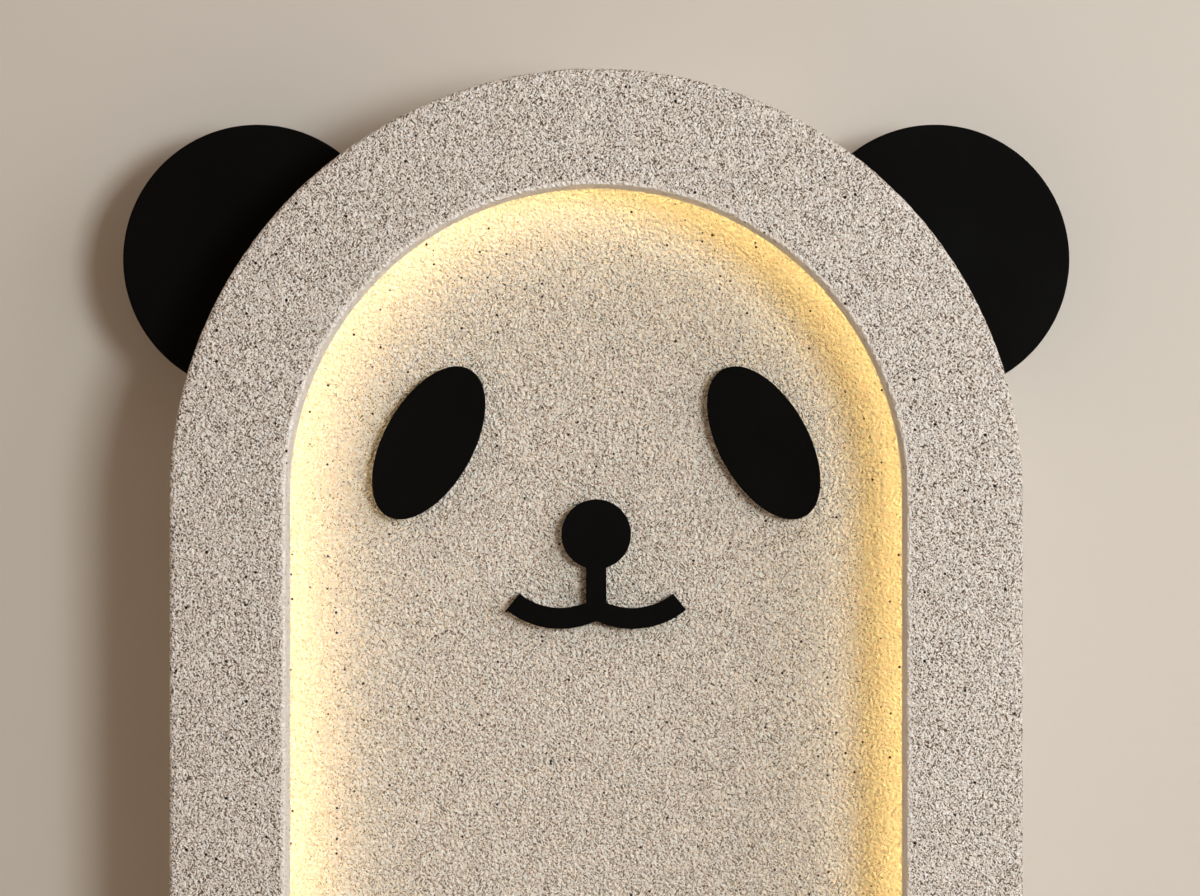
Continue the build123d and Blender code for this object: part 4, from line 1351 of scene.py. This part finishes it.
@dataclass
class Studio:
    """A pale wall behind the lamp, a pale floor under it, soft light and the camera."""

    wall_colour: str = "cfc6b9"
    wall_paleness: float = 0.6
    wall_gap: float = 0.5 * MM
    floor_colour: str = "d9d2c8"
    floor_paleness: float = 0.62
    floor_drop: float = 0.9
    paint_roughness: float = 0.9
    paint_specular: float = 0.2
    plain_reach: float = 0.3
    reach: float = 6.0
    camera_place: Vector = vector_field(0.0011, -1.06, 0.0082)
    lens: float = 107.0
    aim: Vector = vector_field(0.0, -0.06, 0.0)
    key_way: Vector = vector_field(-0.43, 1.0, -0.11)
    key_distance: float = 1.1
    key_size: float = 0.26
    key_power: float = 7.7
    key_colour: str = "edf8ff"
    side_place: Vector = vector_field(1.0, -0.66, 0.25)
    side_size: float = 0.9
    side_power: float = 5.35
    side_colour: str = "f2f5ff"
    back_place: Vector = vector_field(0.3, 1.2, 0.4)
    back_way: Vector = vector_field(-0.25, -1.0, -0.4)
    back_size: float = 0.9
    back_power: float = 12.0
    back_colour: str = "fff8f0"
    fill_colour: str = "ffe0c6"
    fill_strength: float = 0.332
    backdrop_colour: str = "e4ded5"
    backdrop_strength: float = 1.0

    def seen(self, tree: NodeTree, path: Sockets) -> NodeSocket:
        """Tell what the camera sees, itself, in a shine or through glass, from what light only meets.

        Args:
            tree: the node tree.
            path: the outputs of its Light Path.

        Returns:
            1 for what is seen, and 0 for the rest.
        """
        share = path["Is Camera Ray"]
        for ray in ("Is Glossy Ray", "Is Transmission Ray"):
            share = add_node(tree, "Math", {0: share, 1: path[ray]}, operation="MAXIMUM")[0]
        return share

    def stage_finish(self, name: str, colour: str, paleness: float) -> Material:
        """A matt painted surface that shows from the room's side only.

        Args:
            name: the material's name.
            colour: sRGB hex colour.
            paleness: how much of its own colour it shows away from the lamp, without lighting it.

        Returns:
            The new material.
        """
        material = bpy.data.materials.new(name)
        material.use_nodes = True
        tree = material.node_tree
        shader = tree.nodes["Principled BSDF"]
        shader.inputs["Base Color"].default_value = linear(colour)
        shader.inputs["Roughness"].default_value = self.paint_roughness
        shader.inputs["Specular IOR Level"].default_value = self.paint_specular
        path = add_node(tree, "LightPath")
        place = add_node(tree, "TexCoord")["Object"]
        away = add_node(tree, "VectorMath", {0: place}, operation="LENGTH")["Value"]
        share = add_node(
            tree, "MapRange",
            {"Value": away, "From Min": self.plain_reach, "From Max": self.floor_drop, "To Max": paleness},
        )[0]
        own = add_node(tree, "Math", {0: self.seen(tree, path), 1: share}, operation="MULTIPLY")[0]
        shader.inputs["Emission Color"].default_value = linear(colour)
        tree.links.new(own, shader.inputs["Emission Strength"])
        behind = add_node(tree, "NewGeometry")["Backfacing"]
        clear = add_node(tree, "Math", {0: behind, 1: path["Is Shadow Ray"]}, operation="MAXIMUM")[0]
        glass = add_node(tree, "BsdfTransparent")[0]
        mixed = add_node(tree, "MixShader", {0: clear, 1: shader.outputs[0], 2: glass})[0]
        tree.links.new(mixed, tree.nodes["Material Output"].inputs["Surface"])
        return material

    def plane(self, name: str, place: Matrix, material: Material) -> None:
        """Add one flat part of the stage.

        Args:
            name: its name.
            place: its place and turn.
            material: its finish.
        """
        bm = bmesh.new()
        bmesh.ops.create_grid(bm, x_segments=1, y_segments=1, size=self.reach, matrix=place)
        make_piece(bm, name, material)

    def lamp(self, name: str, place: Vector, way: Vector, size: float, power: float, colour: str) -> None:
        """Add one soft square lamp.

        Args:
            name: its name.
            place: where it hangs.
            way: the direction that it shines in.
            size: its width.
            power: its power in watts.
            colour: its colour, as sRGB hex.
        """
        light = bpy.data.lights.new(name, "AREA")
        light.shape = "SQUARE"
        light.size = size
        light.energy = power
        light.color = linear(colour)[:3]
        lamp = bpy.data.objects.new(name, light)
        lamp.matrix_world = Matrix.Translation(place) @ way.to_track_quat("-Z", "Z").to_matrix().to_4x4()
        bpy.context.scene.collection.objects.link(lamp)

    def sky(self) -> None:
        """Light the shade evenly, and show a pale background behind the stage."""
        world = bpy.data.worlds.new("studio")
        world.use_nodes = True
        tree = world.node_tree
        tree.nodes.clear()
        seen = self.seen(tree, add_node(tree, "LightPath"))
        fill, backdrop = (
            add_node(tree, "Background", {"Color": linear(colour), "Strength": strength})[0]
            for colour, strength in (
                (self.fill_colour, self.fill_strength), (self.backdrop_colour, self.backdrop_strength)
            )
        )
        mixed = add_node(tree, "MixShader", {0: seen, 1: fill, 2: backdrop})[0]
        add_node(tree, "OutputWorld", {"Surface": mixed})
        bpy.context.scene.world = world

    def build(self) -> None:
        """Make the stage, the lamps, the world and the camera."""
        standing = Matrix.Rotation(math.pi / 2, 4, "X")
        upright = Matrix.Translation((0.0, self.wall_gap, 0.0)) @ standing
        self.plane("wall", upright, self.stage_finish("wall_paint", self.wall_colour, self.wall_paleness))
        level = Matrix.Translation((0.0, 0.0, -self.floor_drop))
        self.plane("floor", level, self.stage_finish("floor_paint", self.floor_colour, self.floor_paleness))
        key_way = self.key_way.normalized()
        key_place = self.aim - key_way * self.key_distance
        self.lamp("key", key_place, key_way, self.key_size, self.key_power, self.key_colour)
        side_way = (self.aim - self.side_place).normalized()
        self.lamp("side", self.side_place, side_way, self.side_size, self.side_power, self.side_colour)
        self.lamp(
            "back_fill", self.back_place, self.back_way, self.back_size, self.back_power, self.back_colour
        )
        self.sky()
        camera = bpy.data.objects.new("camera", bpy.data.cameras.new("camera"))
        camera.data.lens = self.lens
        camera.matrix_world = Matrix.Translation(self.camera_place) @ standing
        bpy.context.scene.collection.objects.link(camera)
        bpy.context.scene.camera = camera
        bpy.context.scene.view_settings.view_transform = "Standard"


# ---------------------------------------------------------------- the whole lamp


def dress_nodes() -> None:
    """Give every CAD node that keeps its shape its finish."""
    for finish, names in CARRIED_OVER.items():
        material = finish.build()
        for name in names:
            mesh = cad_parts[name].data
            mesh.materials.clear()
            mesh.materials.append(material)
            log.info("%s: %s", name, finish.name)


def main() -> None:
    """Build the lamp's scene in order."""
    logging.basicConfig(level=logging.INFO, format="%(name)s %(message)s")
    Studio().build()
    low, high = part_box("frame_coat")
    outline = ArchOutline(half_width=high.x, foot_z=low.z, top_z=high.z)
    # The opening's edge, which the painted light near the lip is measured from.
    edge = {
        "opening": outline.half_width - outline.border, "arch_z": outline.arch_z,
        "foot_z": outline.foot_z + outline.border,
    }
    frame_coat = FrameCoat(outline, front=-low.y, back=-high.y, lip_back=45.0 * MM)
    log.info("made %s", frame_coat.build(replace(STONE, **edge).build()).name)
    low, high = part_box("panel_coat")
    panel_coat = PanelCoat(outline, front=-low.y, back=-high.y)
    log.info("made %s", panel_coat.build(replace(FINE_STONE, **edge).build()).name)
    steel = SCREW.build()
    for fasteners in [*SCREW_SETS, *NUT_SETS]:
        log.info("made %s", fasteners.build(steel).name)
    dress_nodes()


if __name__ == "__main__":
    main()
